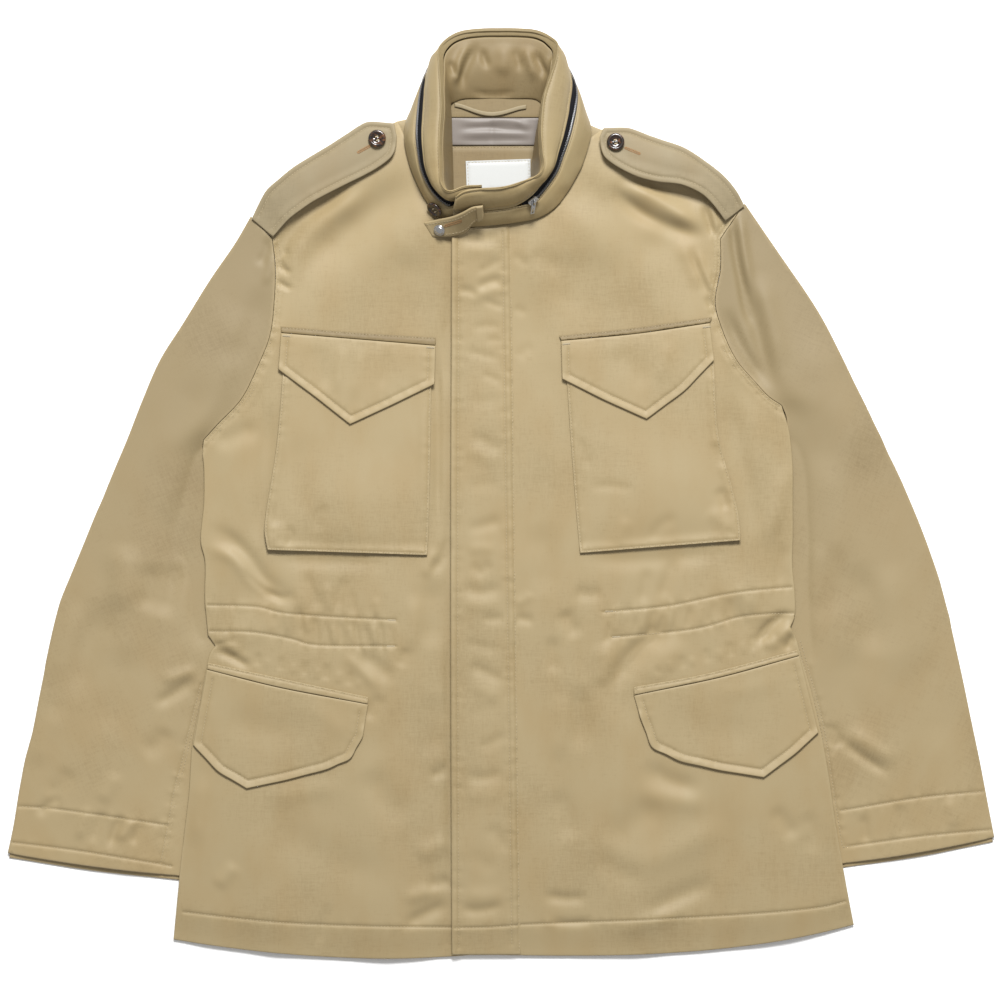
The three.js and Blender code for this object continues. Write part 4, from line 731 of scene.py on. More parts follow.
def fill_points(loop, step, keep_off, clear):
    """Staggered plan points inside a closed loop, no nearer than clear to the points of keep_off."""
    tree = plan_tree(keep_off)
    a, b = loop, np.roll(loop, -1, axis=0)
    places = []
    low, high = loop[:, 1].min(), loop[:, 1].max()
    for k, y in enumerate(np.arange(low + step / 2, high, step * 0.866)):
        cut = (a[:, 1] <= y) != (b[:, 1] <= y)
        x = np.sort(a[cut, 0] + (y - a[cut, 1]) / (b[cut, 1] - a[cut, 1]) * (b[cut, 0] - a[cut, 0]))
        shift = step / 2 * (k % 2)
        for enter, leave in zip(x[::2], x[1::2]):
            first = math.ceil((enter - shift) / step)
            for column in range(first, math.floor((leave - shift) / step) + 1):
                place = (column * step + shift, y)
                if tree.find((place[0], place[1], 0))[2] > clear:
                    places.append(place)
    return np.array(places).reshape(-1, 2)


class Seam:
    """Rows of stitches on a cloth: an even line, the sunk groove of each row and the pucker beside it."""

    count = 0

    def __init__(self, line, pucker, rows=(0,)):
        self.line = even(np.asarray(line, float), LINE_STEP)
        self.pucker = pucker * MM
        self.rows = rows
        self.values = np.random.default_rng(SEED + 100 + Seam.count).uniform(-1, 1, 256)
        Seam.count += 1
        self.tree = plan_tree(self.line)
        tangent = unit(np.gradient(self.line, axis=0))
        self.normal = np.stack([-tangent[:, 1], tangent[:, 0]], 1)

    def moved(self, distance):
        """The line moved sideways."""
        return self.line + self.normal * distance

    def height(self, xy):
        """Height that the seam adds at plan places."""
        total = np.zeros(len(xy))
        low, high = self.line.min(0) - PUCKER_REACH, self.line.max(0) + PUCKER_REACH
        for k in np.flatnonzero(np.all((xy > low) & (xy < high), axis=1)):
            _, i, distance = self.tree.find((xy[k, 0], xy[k, 1], 0))
            if distance > PUCKER_REACH:
                continue
            off = float((xy[k] - self.line[i]) @ self.normal[i])
            if 0 < i < len(self.line) - 1:
                distance = abs(off)
            total[k] += self.pucker * self.wave(i * MM) * math.exp(-((distance / PUCKER_WIDTH) ** 2))
            for row in self.rows:
                away = abs(off - row) if row else distance
                total[k] -= GROOVE_DEPTH * math.exp(-((away / GROOVE_WIDTH) ** 2))
        return total

    def wave(self, s):
        """Smooth seeded noise between -1 and 1 along the line."""
        x = s / PUCKER_LENGTH
        i = int(x)
        u = x - i
        u = u * u * (3 - 2 * u)
        return self.values[i % 256] * (1 - u) + self.values[(i + 1) % 256] * u


CLOTHS = {}
STITCHES = {}


class Cloth:
    """A flat-lying piece of cloth, built around its CAD node."""

    def __init__(self, node, thickness, creases=(), step=FINE, grid=None, foot=None, lifts=(), floor=0.0,
                 corner_turn=CORNER_TURN):
        places, triangles = face_up(node)
        loop = places[boundary(triangles)][:, :2]
        self.node = node
        self.thickness = thickness
        self.outline = closed_outline(loop, step, corner_turn)
        self.heights = Heights(places, triangles)
        self.creases = list(creases)
        self.step = step
        self.grid = grid or step
        self.foot = foot
        self.lifts = list(lifts)
        self.floor = floor
        self.grain = 0.0
        self.seams = []
        self.neighbours = []
        CLOTHS[node] = self

    def between(self, start, end):
        """Indices of the outline from the place nearest start to that nearest end, counterclockwise."""
        i, j = (int(np.argmin(((self.outline - p) ** 2).sum(1))) for p in plan([start, end]))
        count = (j - i) % len(self.outline)
        return (i + np.arange(count + 1)) % len(self.outline)

    def edge_row(self, start, end, distance, **style):
        """A row of stitches that runs a distance inside the outline."""
        moved = inset(self.outline, distance)
        tree = plan_tree(self.outline)
        row = [moved[i] for i in self.between(start, end) if tree.find((*moved[i], 0))[2] > distance * 0.965]
        self.seams.append(Seam(row, **style))

    def row(self, points, **style):
        """A row of stitches through plan points."""
        self.seams.append(Seam(curve_line(plan(points), LINE_STEP), **style))

    def surface(self, xy):
        """Height of the cloth's top at plan places."""
        xy = np.asarray(xy, float)
        z = self.heights.at(xy) + relief(xy, self.creases)
        if self.creases:
            z += SWELL_HEIGHT * plane_noise(xy, SWELL_PERIOD, 1)
            z += RIPPLE_HEIGHT * plane_noise(xy, RIPPLE_PERIOD, 2)
        for lift in self.lifts:
            z += lift(xy)
        for seam in self.seams:
            z += seam.height(xy)
        return np.maximum(z, self.floor)

    def normal(self, xy):
        """Direction out of the cloth's top at plan places."""
        x, y = np.array([SLOPE_STEP, 0]), np.array([0, SLOPE_STEP])
        slope_x = (self.surface(xy + x) - self.surface(xy - x)) / (2 * SLOPE_STEP)
        slope_y = (self.surface(xy + y) - self.surface(xy - y)) / (2 * SLOPE_STEP)
        return unit(np.stack([-slope_x, -slope_y, np.ones(len(xy))], 1))

    def reach_out(self, place, distance, reach):
        """Lets the outline go further under its neighbour near a plan place."""
        centre = plan([place])[0]
        wider = inset(self.outline, -distance)
        share = np.exp(-((self.outline - centre) ** 2).sum(1) / reach**2)[:, None]
        self.outline = self.outline * (1 - share) + wider * share

    def roundness(self):
        """How round each place of the outline is: little where it is sewn to a neighbour."""
        nearest = np.full(len(self.outline), np.inf)
        for other in self.neighbours:
            for x, y in CLOTHS[other].outline:
                nearest = np.minimum(nearest, np.hypot(self.outline[:, 0] - x, self.outline[:, 1] - y))
        return np.where(nearest < SEWN_GAP, SEAM_ROUNDNESS, 1.0)

    def inside(self, points, margin):
        """Which points lie inside the outline, at least a margin from it."""
        nearest = np.full(len(points), np.inf)
        for x, y in self.outline:
            nearest = np.minimum(nearest, (points[:, 0] - x) ** 2 + (points[:, 1] - y) ** 2)
        return in_loop(points, self.outline) & (nearest > margin**2)

    def top_plan(self):
        """Plan places of the top: rings along the edge, columns along the seams, and a grid between."""
        groups = [self.outline] + [inset(self.outline, d) for d in EDGE_INSETS[1:]]
        rows = [even(seam.moved(off), min(self.step, 2 * MM)) for seam in self.seams for off in SEAM_COLUMNS]
        edges = [even(np.vstack([ring, ring[:1]]), LINE_STEP) for ring in (groups[0], groups[-1])]
        clear = min(self.step, 1.6 * MM) * GRID_TO_ROW
        grid = fill_points(self.outline, self.grid, np.vstack(edges + rows), clear)
        if rows:
            stitched = np.vstack(rows)
            groups.append(stitched[self.inside(stitched, ROW_TO_EDGE)])
        return np.vstack(groups + [grid])

    def underside(self, top, top_z, foot):
        """Places of the underside: a ring along the edge and a coarse grid, all below the top."""
        ring = inset(self.outline, EDGE_INSETS[1])
        under = np.vstack([ring, fill_points(self.outline, COARSE, ring, COARSE * 0.6)])
        z = self.surface(under) - self.thickness
        z[:len(ring)] = np.minimum(z[:len(ring)], foot)
        tree = plan_tree(under)
        for (x, y), height in zip(top, top_z):
            for _, k, distance in tree.find_n((x, y, 0), 3):
                if distance < COARSE:
                    z[k] = min(z[k], height - self.thickness * UNDERSIDE_TO_TOP)
        return np.column_stack([under, np.maximum(z, 0)])

    def build(self, look, flat, rests_on, area, slot):
        """The cloth's piece: a top with rounded edges, an underside, and a wall between them."""
        top = self.top_plan()
        z = self.surface(top)
        n = len(self.outline)
        foot = z[:n] - self.thickness
        if self.foot is not None:
            foot = np.minimum(foot, self.foot(self.outline, foot))
        edge_height = (z[:n] - foot) * self.roundness()
        for k, d in enumerate(EDGE_INSETS):
            share = 1 - math.sqrt(max(0, 1 - (1 - d / EDGE_RADIUS) ** 2))
            z[k * n:(k + 1) * n] -= edge_height / 2 * share
        under = self.underside(top, z, foot)
        base = len(top)
        faces = triangulate(top, n)
        faces += [(base + a, base + c, base + b) for a, b, c in triangulate(under[:, :2], n)]
        faces += [(k, base + k, base + (k + 1) % n, (k + 1) % n) for k in range(n)]
        places = np.vstack([np.column_stack([top, z]), under])
        marks = np.zeros(len(places))
        marks[:2 * n] = 1
        marks[2 * n:3 * n] = 0.55
        c, s = math.cos(self.grain), math.sin(self.grain)
        weave = places[:, :2] @ np.array([[c, s], [-s, c]])
        piece = mesh_piece(self.node + "_cloth", places, faces, look, marks, weave)
        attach(piece, "jacket")
        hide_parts(self.node)


# Stitches
def stitch_line(group, places, normals):
    """Adds stitches to a group along a line of places in space."""
    along = lengths_along(places)
    count = int(along[-1] / STITCH_PITCH)
    if count < 1:
        return
    middle = (np.arange(count) + 0.5) * along[-1] / count

    def on(values, s):
        return np.stack([np.interp(s, along, values[:, k]) for k in range(3)], 1)

    start, end = on(places, middle - STITCH_LENGTH / 2), on(places, middle + STITCH_LENGTH / 2)
    add_stitches(group, start, end, unit(on(normals, middle)), STITCH_WIDTH)


def add_stitches(group, start, end, up, width):
    """Keeps stitches for a group: their ends, the way up and their width."""
    STITCHES.setdefault(group, []).append((start, end, up, np.full(len(start), width)))


def sew(cloth, group):
    """Stitches along all the seams of a flat-lying cloth."""
    for seam in cloth.seams:
        for row in seam.rows:
            line = seam.moved(row)
            line = line[cloth.inside(line, STITCH_TO_EDGE)]
            if len(line) >= 4:
                stitch_line(group, np.column_stack([line, cloth.surface(line)]), cloth.normal(line))


# Rings of a stitch: share of its length, share of its width, and rise
STITCH_RINGS = [(-0.02, 0, -0.22), (0.14, 0.62, 0.42), (0.5, 1, 0.62), (0.86, 0.62, 0.42), (1.02, 0, -0.22)]
STITCH_RISE = 0.55


def stitch_faces():
    """Faces of one stitch: a place at each end and three rings of four between them."""
    faces = []
    for k in range(4):
        after = (k + 1) % 4
        faces.append((0, 1 + after, 1 + k))
        for r in (1, 5):
            faces.append((r + k, r + after, r + 4 + after, r + 4 + k))
        faces.append((9 + k, 9 + after, 13))
    return faces


def stitch_mesh(name, look):
    """One piece from the stitches of a group: each a small lozenge whose ends sink into the cloth."""
    start, end, up, width = (np.concatenate(parts) for parts in zip(*STITCHES[name]))
    along = end - start
    side = unit(np.cross(up, along))
    up = unit(np.cross(along, side))
    places = []
    for share, across, rise in STITCH_RINGS:
        middle = start + along * share + up * (rise * width)[:, None] * STITCH_RISE
        if across == 0:
            places.append(middle[:, None])
            continue
        half = (width * across / 2)[:, None]
        places.append(np.stack([middle + direction * half for direction in (side, up, -side, -up)], 1))
    places = np.concatenate(places, 1)
    size = places.shape[1]
    one = stitch_faces()
    faces = [tuple(v + number * size for v in face) for number in range(len(places)) for face in one]
    piece = mesh_piece(name, places.reshape(-1, 3), faces, look)
    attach(piece, "jacket")


# Materials
def new_material(name):
    """A material, its node tree and its shader."""
    material = bpy.data.materials.new(name)
    material.use_nodes = True
    tree = material.node_tree
    return material, tree, tree.nodes["Principled BSDF"]


def connect(tree, made, inputs):
    """Links or sets the inputs of a node."""
    for key, value in inputs.items():
        if isinstance(value, bpy.types.NodeSocket):
            tree.links.new(value, made.inputs[key])
        else:
            made.inputs[key].default_value = value
    return made


def node(tree, kind, inputs=None, **settings):
    made = tree.nodes.new(kind)
    for key, value in settings.items():
        setattr(made, key, value)
    return connect(tree, made, inputs or {})


def weave_place(tree):
    """Place along and across the weave."""
    return node(tree, "ShaderNodeUVMap", uv_map="weave").outputs["UV"]


def object_place(tree):
    return node(tree, "ShaderNodeTexCoord").outputs["Object"]


def scaled(tree, place, scale):
    return node(tree, "ShaderNodeMapping", {"Vector": place, "Scale": scale}).outputs["Vector"]


def noise(tree, place, scale=1.0, detail=2.0, distortion=0.0):
    inputs = {"Vector": place, "Scale": scale, "Detail": detail, "Distortion": distortion}
    return node(tree, "ShaderNodeTexNoise", inputs).outputs["Fac"]


def bands(tree, place, scale, distortion, direction, detail=2.0):
    inputs = {"Vector": place, "Scale": scale, "Distortion": distortion, "Detail": detail}
    made = node(tree, "ShaderNodeTexWave", inputs, wave_type="BANDS", bands_direction=direction)
    return made.outputs["Fac"]


def combined(tree, operation, *values):
    return node(tree, "ShaderNodeMath", dict(enumerate(values)), operation=operation).outputs[0]


def ranged(tree, value, low, high, start=0.0, end=1.0):
    """A value that runs from start to end, made to run from low to high."""
    inputs = {"Value": value, "From Min": start, "From Max": end, "To Min": low, "To Max": high}
    return node(tree, "ShaderNodeMapRange", inputs).outputs["Result"]


def bumped(tree, height, strength, depth):
    inputs = {"Height": height, "Strength": strength, "Distance": depth}
    return node(tree, "ShaderNodeBump", inputs).outputs["Normal"]


def ramp(tree, factor, stops):
    """Colours by a factor, each stop a position and a colour."""
    made = node(tree, "ShaderNodeValToRGB", {"Fac": factor})
    elements = made.color_ramp.elements
    for element, (position, colour) in zip(elements, (stops[0], stops[-1])):
        element.position = position
        element.color = (*colour, 1)
    for position, colour in stops[1:-1]:
        elements.new(position).color = (*colour, 1)
    return made.outputs["Color"]


def blend(tree, factor, first, second):
    """Two colours mixed by a factor."""
    mix = node(tree, "ShaderNodeMix", data_type="RGBA")
    return connect(tree, mix, {0: factor, 6: first, 7: second}).outputs[2]


def dimmed(colour, share):
    return tuple(part * share for part in colour)


def browned(colour):
    """The colour of the cloth where its sheen is turned away."""
    return tuple(part * share for part, share in zip(colour, (0.965, 0.93, 0.875)))


def cloth_look(name, dark, light, worn, sheen, roughness, painted_top_shade=None):
    """Sateen: slubs and a fine twill along the weave, soft mottling, random patches of painted sheen, and
    paler edges.

    painted_top_shade paints shade onto cloth that darkens upwards: the share of its lightness that it keeps,
    and from where to where."""
    material, tree, shader = new_material(name)
    uv = weave_place(tree)
    along = noise(tree, scaled(tree, uv, (1500, 160, 1)))
    across = noise(tree, scaled(tree, uv, (160, 1500, 1)))
    threads = combined(tree, "ADD", along, across)
    twill = bands(tree, uv, 420.0, 1.2, "DIAGONAL", detail=1.0)
    mottled = combined(tree, "MULTIPLY_ADD", threads, 0.5, noise(tree, uv, 9.0))
    slubs = [noise(tree, scaled(tree, uv, size), detail=3.0) for size in ((430, 44, 1), (44, 430, 1))]
    slub = ranged(tree, combined(tree, "ADD", *slubs), -0.1, 0.1, 0.7, 1.3)
    mix = combined(tree, "ADD", mottled, slub)

    def shades(change, *settings):
        return ramp(tree, mix, [(0.62, change(dark, *settings)), (1.38, change(light, *settings))])

    # Random browner patches: tone that varies, and painted sheen where the sheen would be turned away.
    tone_and_sheen_patches = noise(tree, scaled(tree, uv, (26, 12, 26)), detail=4.0)
    colour = blend(tree, ranged(tree, tone_and_sheen_patches, 0.0, 1.0, 0.42, 0.66), shades(dimmed, 1), shades(browned))
    # Painted shade: the colour darkens towards the top of the plan, from low to high.
    if painted_top_shade:
        share, low, high = painted_top_shade
        height = node(tree, "ShaderNodeSeparateXYZ", {"Vector": object_place(tree)}).outputs["Y"]
        colour = blend(tree, ranged(tree, height, 0.0, 1.0, low, high), colour, shades(dimmed, share))
    wear = node(tree, "ShaderNodeAttribute", attribute_name="wear").outputs["Fac"]
    colour = blend(tree, combined(tree, "MULTIPLY", wear, along), colour, (*worn, 1))
    weave = combined(tree, "MULTIPLY_ADD", twill, 0.6, threads)
    connect(tree, shader, {
        "Base Color": colour,
        "Roughness": ranged(tree, along, roughness - 0.06, roughness + 0.08),
        "Normal": bumped(tree, weave, 0.55, 0.05 * MM),
        "Sheen Weight": sheen,
        "Sheen Roughness": 0.45,
        "Sheen Tint": (*worn, 1),
        "Specular IOR Level": 0.42,
    })
    return material


def thread_look(name, dark, light):
    """Spun thread: a fine twist along it."""
    material, tree, shader = new_material(name)
    twist = bands(tree, object_place(tree), 500.0, 2.0, "DIAGONAL")
    connect(tree, shader, {
        "Base Color": ramp(tree, twist, [(0.2, dark), (0.8, light)]),
        "Roughness": 0.6,
        "Normal": bumped(tree, twist, 0.5, 0.04 * MM),
    })
    return material


def satin_look(name, dark, light):
    """Lining satin: long fine threads and a clear lustre."""
    material, tree, shader = new_material(name)
    uv = weave_place(tree)
    threads = noise(tree, scaled(tree, uv, (2200, 90, 1)))
    mix = combined(tree, "ADD", threads, noise(tree, uv, 30.0))
    connect(tree, shader, {
        "Base Color": ramp(tree, mix, [(0.35, dark), (0.75, light)]),
        "Roughness": ranged(tree, threads, 0.44, 0.56),
        "Normal": bumped(tree, threads, 0.4, 0.03 * MM),
        "Sheen Weight": 0.2,
        "Specular IOR Level": 0.5,
    })
    return material


def woven_look(name, dark, light, scale, roughness):
    """A plain woven tape or label: fine crossing ribs."""
    material, tree, shader = new_material(name)
    uv = weave_place(tree)
    ribs, picks = bands(tree, uv, scale, 0.8, "X"), bands(tree, uv, scale * 0.7, 0.8, "Y")
    weave = combined(tree, "MULTIPLY", ribs, picks)
    connect(tree, shader, {
        "Base Color": ramp(tree, weave, [(0.0, dark), (0.9, light)]),
        "Roughness": roughness,
        "Normal": bumped(tree, weave, 0.6, 0.08 * MM),
        "Specular IOR Level": 0.2,
    })
    return material


def horn_look(name):
    """Polished tortoiseshell: amber clouds in near black."""
    material, tree, shader = new_material(name)
    place = scaled(tree, object_place(tree), (170, 330, 200))
    clouds = noise(tree, place, detail=4.0, distortion=1.4)
    stops = [(0.3, (0.006, 0.004, 0.003)), (0.5, (0.018, 0.009, 0.005)),
             (0.62, (0.075, 0.028, 0.009)), (0.78, (0.2, 0.085, 0.025))]
    connect(tree, shader, {
        "Base Color": ramp(tree, clouds, stops),
        "Roughness": ranged(tree, noise(tree, place, 6.0), 0.16, 0.3),
        "Coat Weight": 0.4,
        "Coat Roughness": 0.12,
    })
    return material


def metal_look(name, colour, low, high):
    """Polished nickel with faint handling marks."""
    material, tree, shader = new_material(name)
    marks = noise(tree, object_place(tree), 900.0, 3.0)
    connect(tree, shader, {
        "Base Color": ramp(tree, marks, [(0.3, dimmed(colour, 0.86)), (0.7, colour)]),
        "Roughness": ranged(tree, marks, low, high),
        "Normal": bumped(tree, marks, 0.15, 0.02 * MM),
        "Metallic": 1.0,
    })
    return material


TAN = cloth_look(
    "tan_sateen", (0.262, 0.197, 0.097), (0.318, 0.246, 0.13), (0.36, 0.285, 0.16), 0.2, 0.56)
# Sleeve cloth with painted shade: it darkens towards the shoulders.
TAN_SLEEVE = cloth_look(
    "tan_sateen_sleeve_painted_shade", (0.27, 0.201, 0.1), (0.332, 0.255, 0.134), (0.35, 0.27, 0.15), 0.2, 0.56,
    painted_top_shade=(0.68, -0.34, 0.27))
# Collar cloth: a lighter copy of the tan cloth, painted light, which darkens towards the collar's top,
# painted shade.
TAN_COLLAR = cloth_look(
    "tan_sateen_collar_painted_light_and_shade", (0.285, 0.21, 0.098), (0.345, 0.265, 0.134), (0.38, 0.3, 0.165), 0.2, 0.56,
    painted_top_shade=(0.73, 0.275, 0.36))
# A darker copy of the tan cloth: painted shade for the recess inside the collar and round the neck.
TAN_PAINTED_SHADE = cloth_look(
    "tan_painted_shade", (0.158, 0.112, 0.05), (0.208, 0.154, 0.074), (0.25, 0.19, 0.095), 0.1, 0.6)
TAN_STRAP = cloth_look(
    "tan_twill_strap", (0.185, 0.146, 0.08), (0.24, 0.193, 0.112), (0.3, 0.245, 0.15), 0.2, 0.62)
# Lining satin in taupe, its colours darkened beyond the satin's own to paint the shade of the recess inside
# the collar.
LINING = satin_look("taupe_satin_and_painted_shade", (0.07, 0.057, 0.047), (0.165, 0.14, 0.12))
LABEL = woven_look("white_woven_label", (0.5, 0.51, 0.5), (0.62, 0.63, 0.62), 700.0, 0.6)
TAPE = woven_look("black_zip_tape", (0.002, 0.002, 0.003), (0.012, 0.012, 0.014), 420.0, 0.85)
HORN = horn_look("tortoiseshell")
METAL = metal_look("polished_nickel", (0.55, 0.55, 0.55), 0.2, 0.36)
TEETH_METAL = metal_look("nickel_teeth", (0.3, 0.3, 0.31), 0.34, 0.5)
THREAD = thread_look("tan_thread", (0.33, 0.265, 0.155), (0.47, 0.39, 0.25))
BUTTON_THREAD = thread_look("button_thread", (0.34, 0.27, 0.16), (0.52, 0.44, 0.3))
HOLE_THREAD = thread_look("orange_brown_thread", (0.3, 0.15, 0.055), (0.48, 0.27, 0.12))
TACK_THREAD = thread_look("pale_tan_thread", (0.38, 0.32, 0.21), (0.52, 0.45, 0.32))


# Studio: a pale floor, soft daylight all round and one large soft light above the chest
FLOOR_SIZE = 6.0
FLOOR_DROP = 0.2 * MM
FLOOR_DARK, FLOOR_LIGHT = (0.97, 0.97, 0.97), (0.99, 0.99, 0.99)
CAMERA_HEIGHT = 3.5
CAMERA_LENS = 132.6
LIGHT_PLACE = (0.2, 2.4, 2.85)
LIGHT_AIM = (0.0, 0.0, 0.0)
LIGHT_SIZE = 1.1
LIGHT_POWER = 216
SKY_STRENGTH = 0.45


def studio():
    """Camera, floor, sky and light."""
    scene = bpy.context.scene
    scene.view_settings.view_transform = "Standard"
    scene.view_settings.look = "None"
    camera = bpy.data.objects.new("camera", bpy.data.cameras.new("camera"))
    camera.data.lens = CAMERA_LENS
    camera.data.clip_end = 20
    camera.location = (*plan([(500, 500)])[0], CAMERA_HEIGHT)
    scene.collection.objects.link(camera)
    scene.camera = camera
    material, tree, shader = new_material("floor")
    grain = noise(tree, object_place(tree), 6.0)
    colour = ramp(tree, grain, [(0, FLOOR_DARK), (1, FLOOR_LIGHT)])
    connect(tree, shader, {"Base Color": colour, "Roughness": 0.9})
    half = FLOOR_SIZE / 2
    corners = [(x * half, y * half, -FLOOR_DROP) for x, y in ((-1, -1), (1, -1), (1, 1), (-1, 1))]
    floor = mesh_piece("floor", corners, [(0, 1, 2, 3)], material)
    world = bpy.data.worlds.new("studio")
    world.use_nodes = True
    sky = world.node_tree.nodes["Background"]
    sky.inputs["Color"].default_value = (1, 1, 1, 1)
    sky.inputs["Strength"].default_value = SKY_STRENGTH
    scene.world = world
    light = bpy.data.objects.new("key", bpy.data.lights.new("key", "AREA"))
    light.data.energy = LIGHT_POWER
    light.data.size = LIGHT_SIZE
    light.location = LIGHT_PLACE
    aim = Vector(LIGHT_AIM) - Vector(LIGHT_PLACE)
    light.rotation_euler = aim.to_track_quat("-Z", "Y").to_euler()
    light.visible_camera = False
    scene.collection.objects.link(light)


studio()


# Strips that are built on a grid of places, such as the collar's walls and the throat tab
def turn_faces_out(piece, join=0.0):
    """Makes a piece's faces point outwards, after joining places nearer than a distance."""
    work = bmesh.new()
    work.from_mesh(piece.data)
    if join:
        bmesh.ops.remove_doubles(work, verts=work.verts, dist=join)
    bmesh.ops.recalc_face_normals(work, faces=work.faces)
    work.to_mesh(piece.data)
    work.free()


def grid_normals(points):
    """Direction out of the cloth over a grid of places: along its rows first, then across."""
    return unit(np.cross(np.gradient(points, axis=1), np.gradient(points, axis=0)))


def grid_lengths(points, axis):
    """How far each place of a grid is from the grid's first edge, along one axis."""
    steps = np.cumsum(np.linalg.norm(np.diff(points, axis=axis), axis=2), axis)
    return np.insert(steps, 0, 0, axis)


def grid_shell(name, outer, normals, thickness, look, inner=None):
    """A closed shell between a grid of places and the same grid moved in by its thickness."""
    m, n = outer.shape[:2]
    if inner is None:
        inner = outer - normals * thickness
    shaped = outer.copy()
    for share, first in ((0.5, 0), (0.14, 1)):
        for row in (first, m - 1 - first):
            shaped[row] -= normals[row] * thickness * share
        for column in (first, n - 1 - first):
            shaped[:, column] -= normals[:, column] * thickness * share
    places = np.concatenate([shaped.reshape(-1, 3), inner.reshape(-1, 3)])
    index = np.arange(m * n).reshape(m, n)
    a, b, c, d = index[:-1, :-1], index[:-1, 1:], index[1:, 1:], index[1:, :-1]
    upper = np.stack([a, b, c, d], -1).reshape(-1, 4)
    lower = upper[:, ::-1] + m * n
    loop = np.concatenate([index[:-1, 0], index[-1, :-1], index[:0:-1, -1], index[0, :0:-1]])
    after = np.roll(loop, -1)
    sides = np.stack([loop, after, after + m * n, loop + m * n], -1)
    faces = np.concatenate([upper, lower, sides]).tolist()
    marks = np.zeros((2, m, n))
    marks[:, :2] = marks[:, -2:] = 1
    marks[:, :, :2] = marks[:, :, -2:] = 1
    along = grid_lengths(outer, 0).mean(1, keepdims=True)
    weave = np.stack([np.broadcast_to(along, (m, n)), grid_lengths(outer, 1)], -1)
    weave = np.concatenate([weave, weave]).reshape(-1, 2)
    piece = mesh_piece(name, places, faces, look, marks.ravel(), weave)
    turn_faces_out(piece)
    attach(piece, "jacket")
    return piece


# Collar: stations round the neck, each a base, zip, crest and inner foot, and the width of its rim
COLLAR = [
    (-18, 262, 13, -18, 276, 29, -18, 289.5, 46, -18, 275, 13, 3.6),
    (-34, 262, 13, -34, 276, 29, -34, 288.5, 46, -34, 275, 13, 3.6),
    (-48, 257, 14, -49, 273, 32, -47, 284, 48, -40, 272, 11, 4),
    (-61, 264, -1, -58.5, 279, 34, -52.5, 285, 51, -43, 273, 9, 6),
    (-71, 277, -1, -68.5, 291, 35, -56.5, 292, 52, -44.5, 285, 7, 6.5),
    (-79, 292, -1, -75, 306, 36, -57.3, 306, 52, -45, 303, 6, 6.5),
    (-87, 312, -1, -77.4, 321, 36, -58, 323, 52, -45.5, 322, 6, 6.5),
    (-91, 330, -1, -78.8, 338, 34, -57.3, 341.5, 50, -46, 340, 6, 6.5),
    (-91, 347, -1, -78, 360, 28, -56, 362, 46, -46.5, 357, 6, 6.5),
    (-87, 361, 5, -76, 382, 21, -57, 385, 40, -47, 370, 6, 6.5),
    (-78, 372, 2.6, -73, 398, 13, -58.5, 408, 32, -45, 371, 4.5, 9),
    (-66, 378, 0.6, -67, 410, 5, -58.6, 421.5, 24, -38, 374, 4.5, 9),
    (-50, 380, 0.1, -56, 415, 0.6, -50, 432, 18, -30, 375, 4.5, 9),
    (-34, 380, 0.1, -37, 418, 0.1, -38, 438, 15, -20, 375, 4.5, 9),
    (-17, 380, 0.1, -18, 419, 0.1, -19, 440.7, 14, -10, 375, 4.5, 9),
    (0, 380, 0.1, 0, 419, 0.1, -1, 441, 14, -1, 375, 4.5, 9),
    (17, 380, 0.1, 20, 419, 0.1, 19, 440.7, 14, 9, 375, 4.5, 9),
    (34, 380, 0.1, 38, 418, 0.1, 34, 439, 15, 17, 375, 4.5, 9),
    (50, 379, 0.1, 54, 415, 0.6, 45.5, 433.5, 18, 26, 375, 4.5, 9),
    (64, 376, 0.6, 61, 410, 5, 53, 426, 24, 33, 374, 4.5, 9),
    (75, 370, 2.6, 68, 398, 13, 52.5, 412, 32, 38, 370, 4.5, 9),
    (82, 359, 5, 71.5, 382, 21, 46, 391, 40, 39, 367, 6, 6.5),
    (86, 344, 15, 69.6, 366, 28, 40.5, 374, 46, 36, 356, 6, 6.5),
    (83, 328, -1, 66.5, 350.5, 33, 38, 353.5, 50, 33, 343, 6, 6.5),
    (77, 311, -1, 63, 336, 36, 37.5, 337, 52, 31, 329, 6, 6.5),
    (69, 296, -1, 57.5, 319.5, 37, 39, 320, 53, 29, 314, 6, 6.5),
    (61, 282, -1, 52.7, 306, 37, 40.3, 307.5, 54, 28, 298, 7, 6),
    (51, 270, -1, 42.5, 291, 36, 36.6, 300, 54.5, 26, 284, 9, 5),
    (36, 261, -1, 30, 277, 34, 18.8, 292, 55, 14, 270, 15, 4),
    (10, 255.6, -1, 13, 270, 33, 1, 287, 55, 4, 265, 17.5, 3.6),
    (-10, 253.5, -1, -10, 266.5, 32, -20, 285.5, 55, -14, 263, 17.5, 3.6),
    (-32, 252, -1, -34, 266, 32, -34.5, 283, 54, -32, 262.5, 17.5, 3.6),
    (-44, 251, -1, -45.5, 266, 31, -42.5, 278, 50, -41, 262, 17, 3.6),
]
COLLAR_END = len(COLLAR) - 1
COLLAR_SEAT = 3.0 * MM
COLLAR_BULGE = 2.5 * MM
COLLAR_GROOVE_WIDTH = 0.7 * MM
COLLAR_PUCKER = 0.12 * MM
STAND_BULGE = 1.2 * MM
STATION_STEP = 0.3
ROW_COLUMNS = (-1.1 * MM, -0.5 * MM, 0, 0.5 * MM, 1.1 * MM)
COLUMN_TO_ROW = 1.6 * MM
COLUMN_TO_EDGE = 1.2 * MM
ZIP_FIRST, ZIP_LAST = 2, 28
ZIP_SECTION = (1.98, 3.02)
ZIP_HALF_WIDTH = 4.0 * MM
FLOOR_GAP = 0.1 * MM
RIM_ALONG, RIM_IN = 0.42, 0.9
CREST = 5
BACK_DROP, BACK_PUFF = 0.42, 4.0 * MM


BODY = ["front_right", "front_left", "placket"]


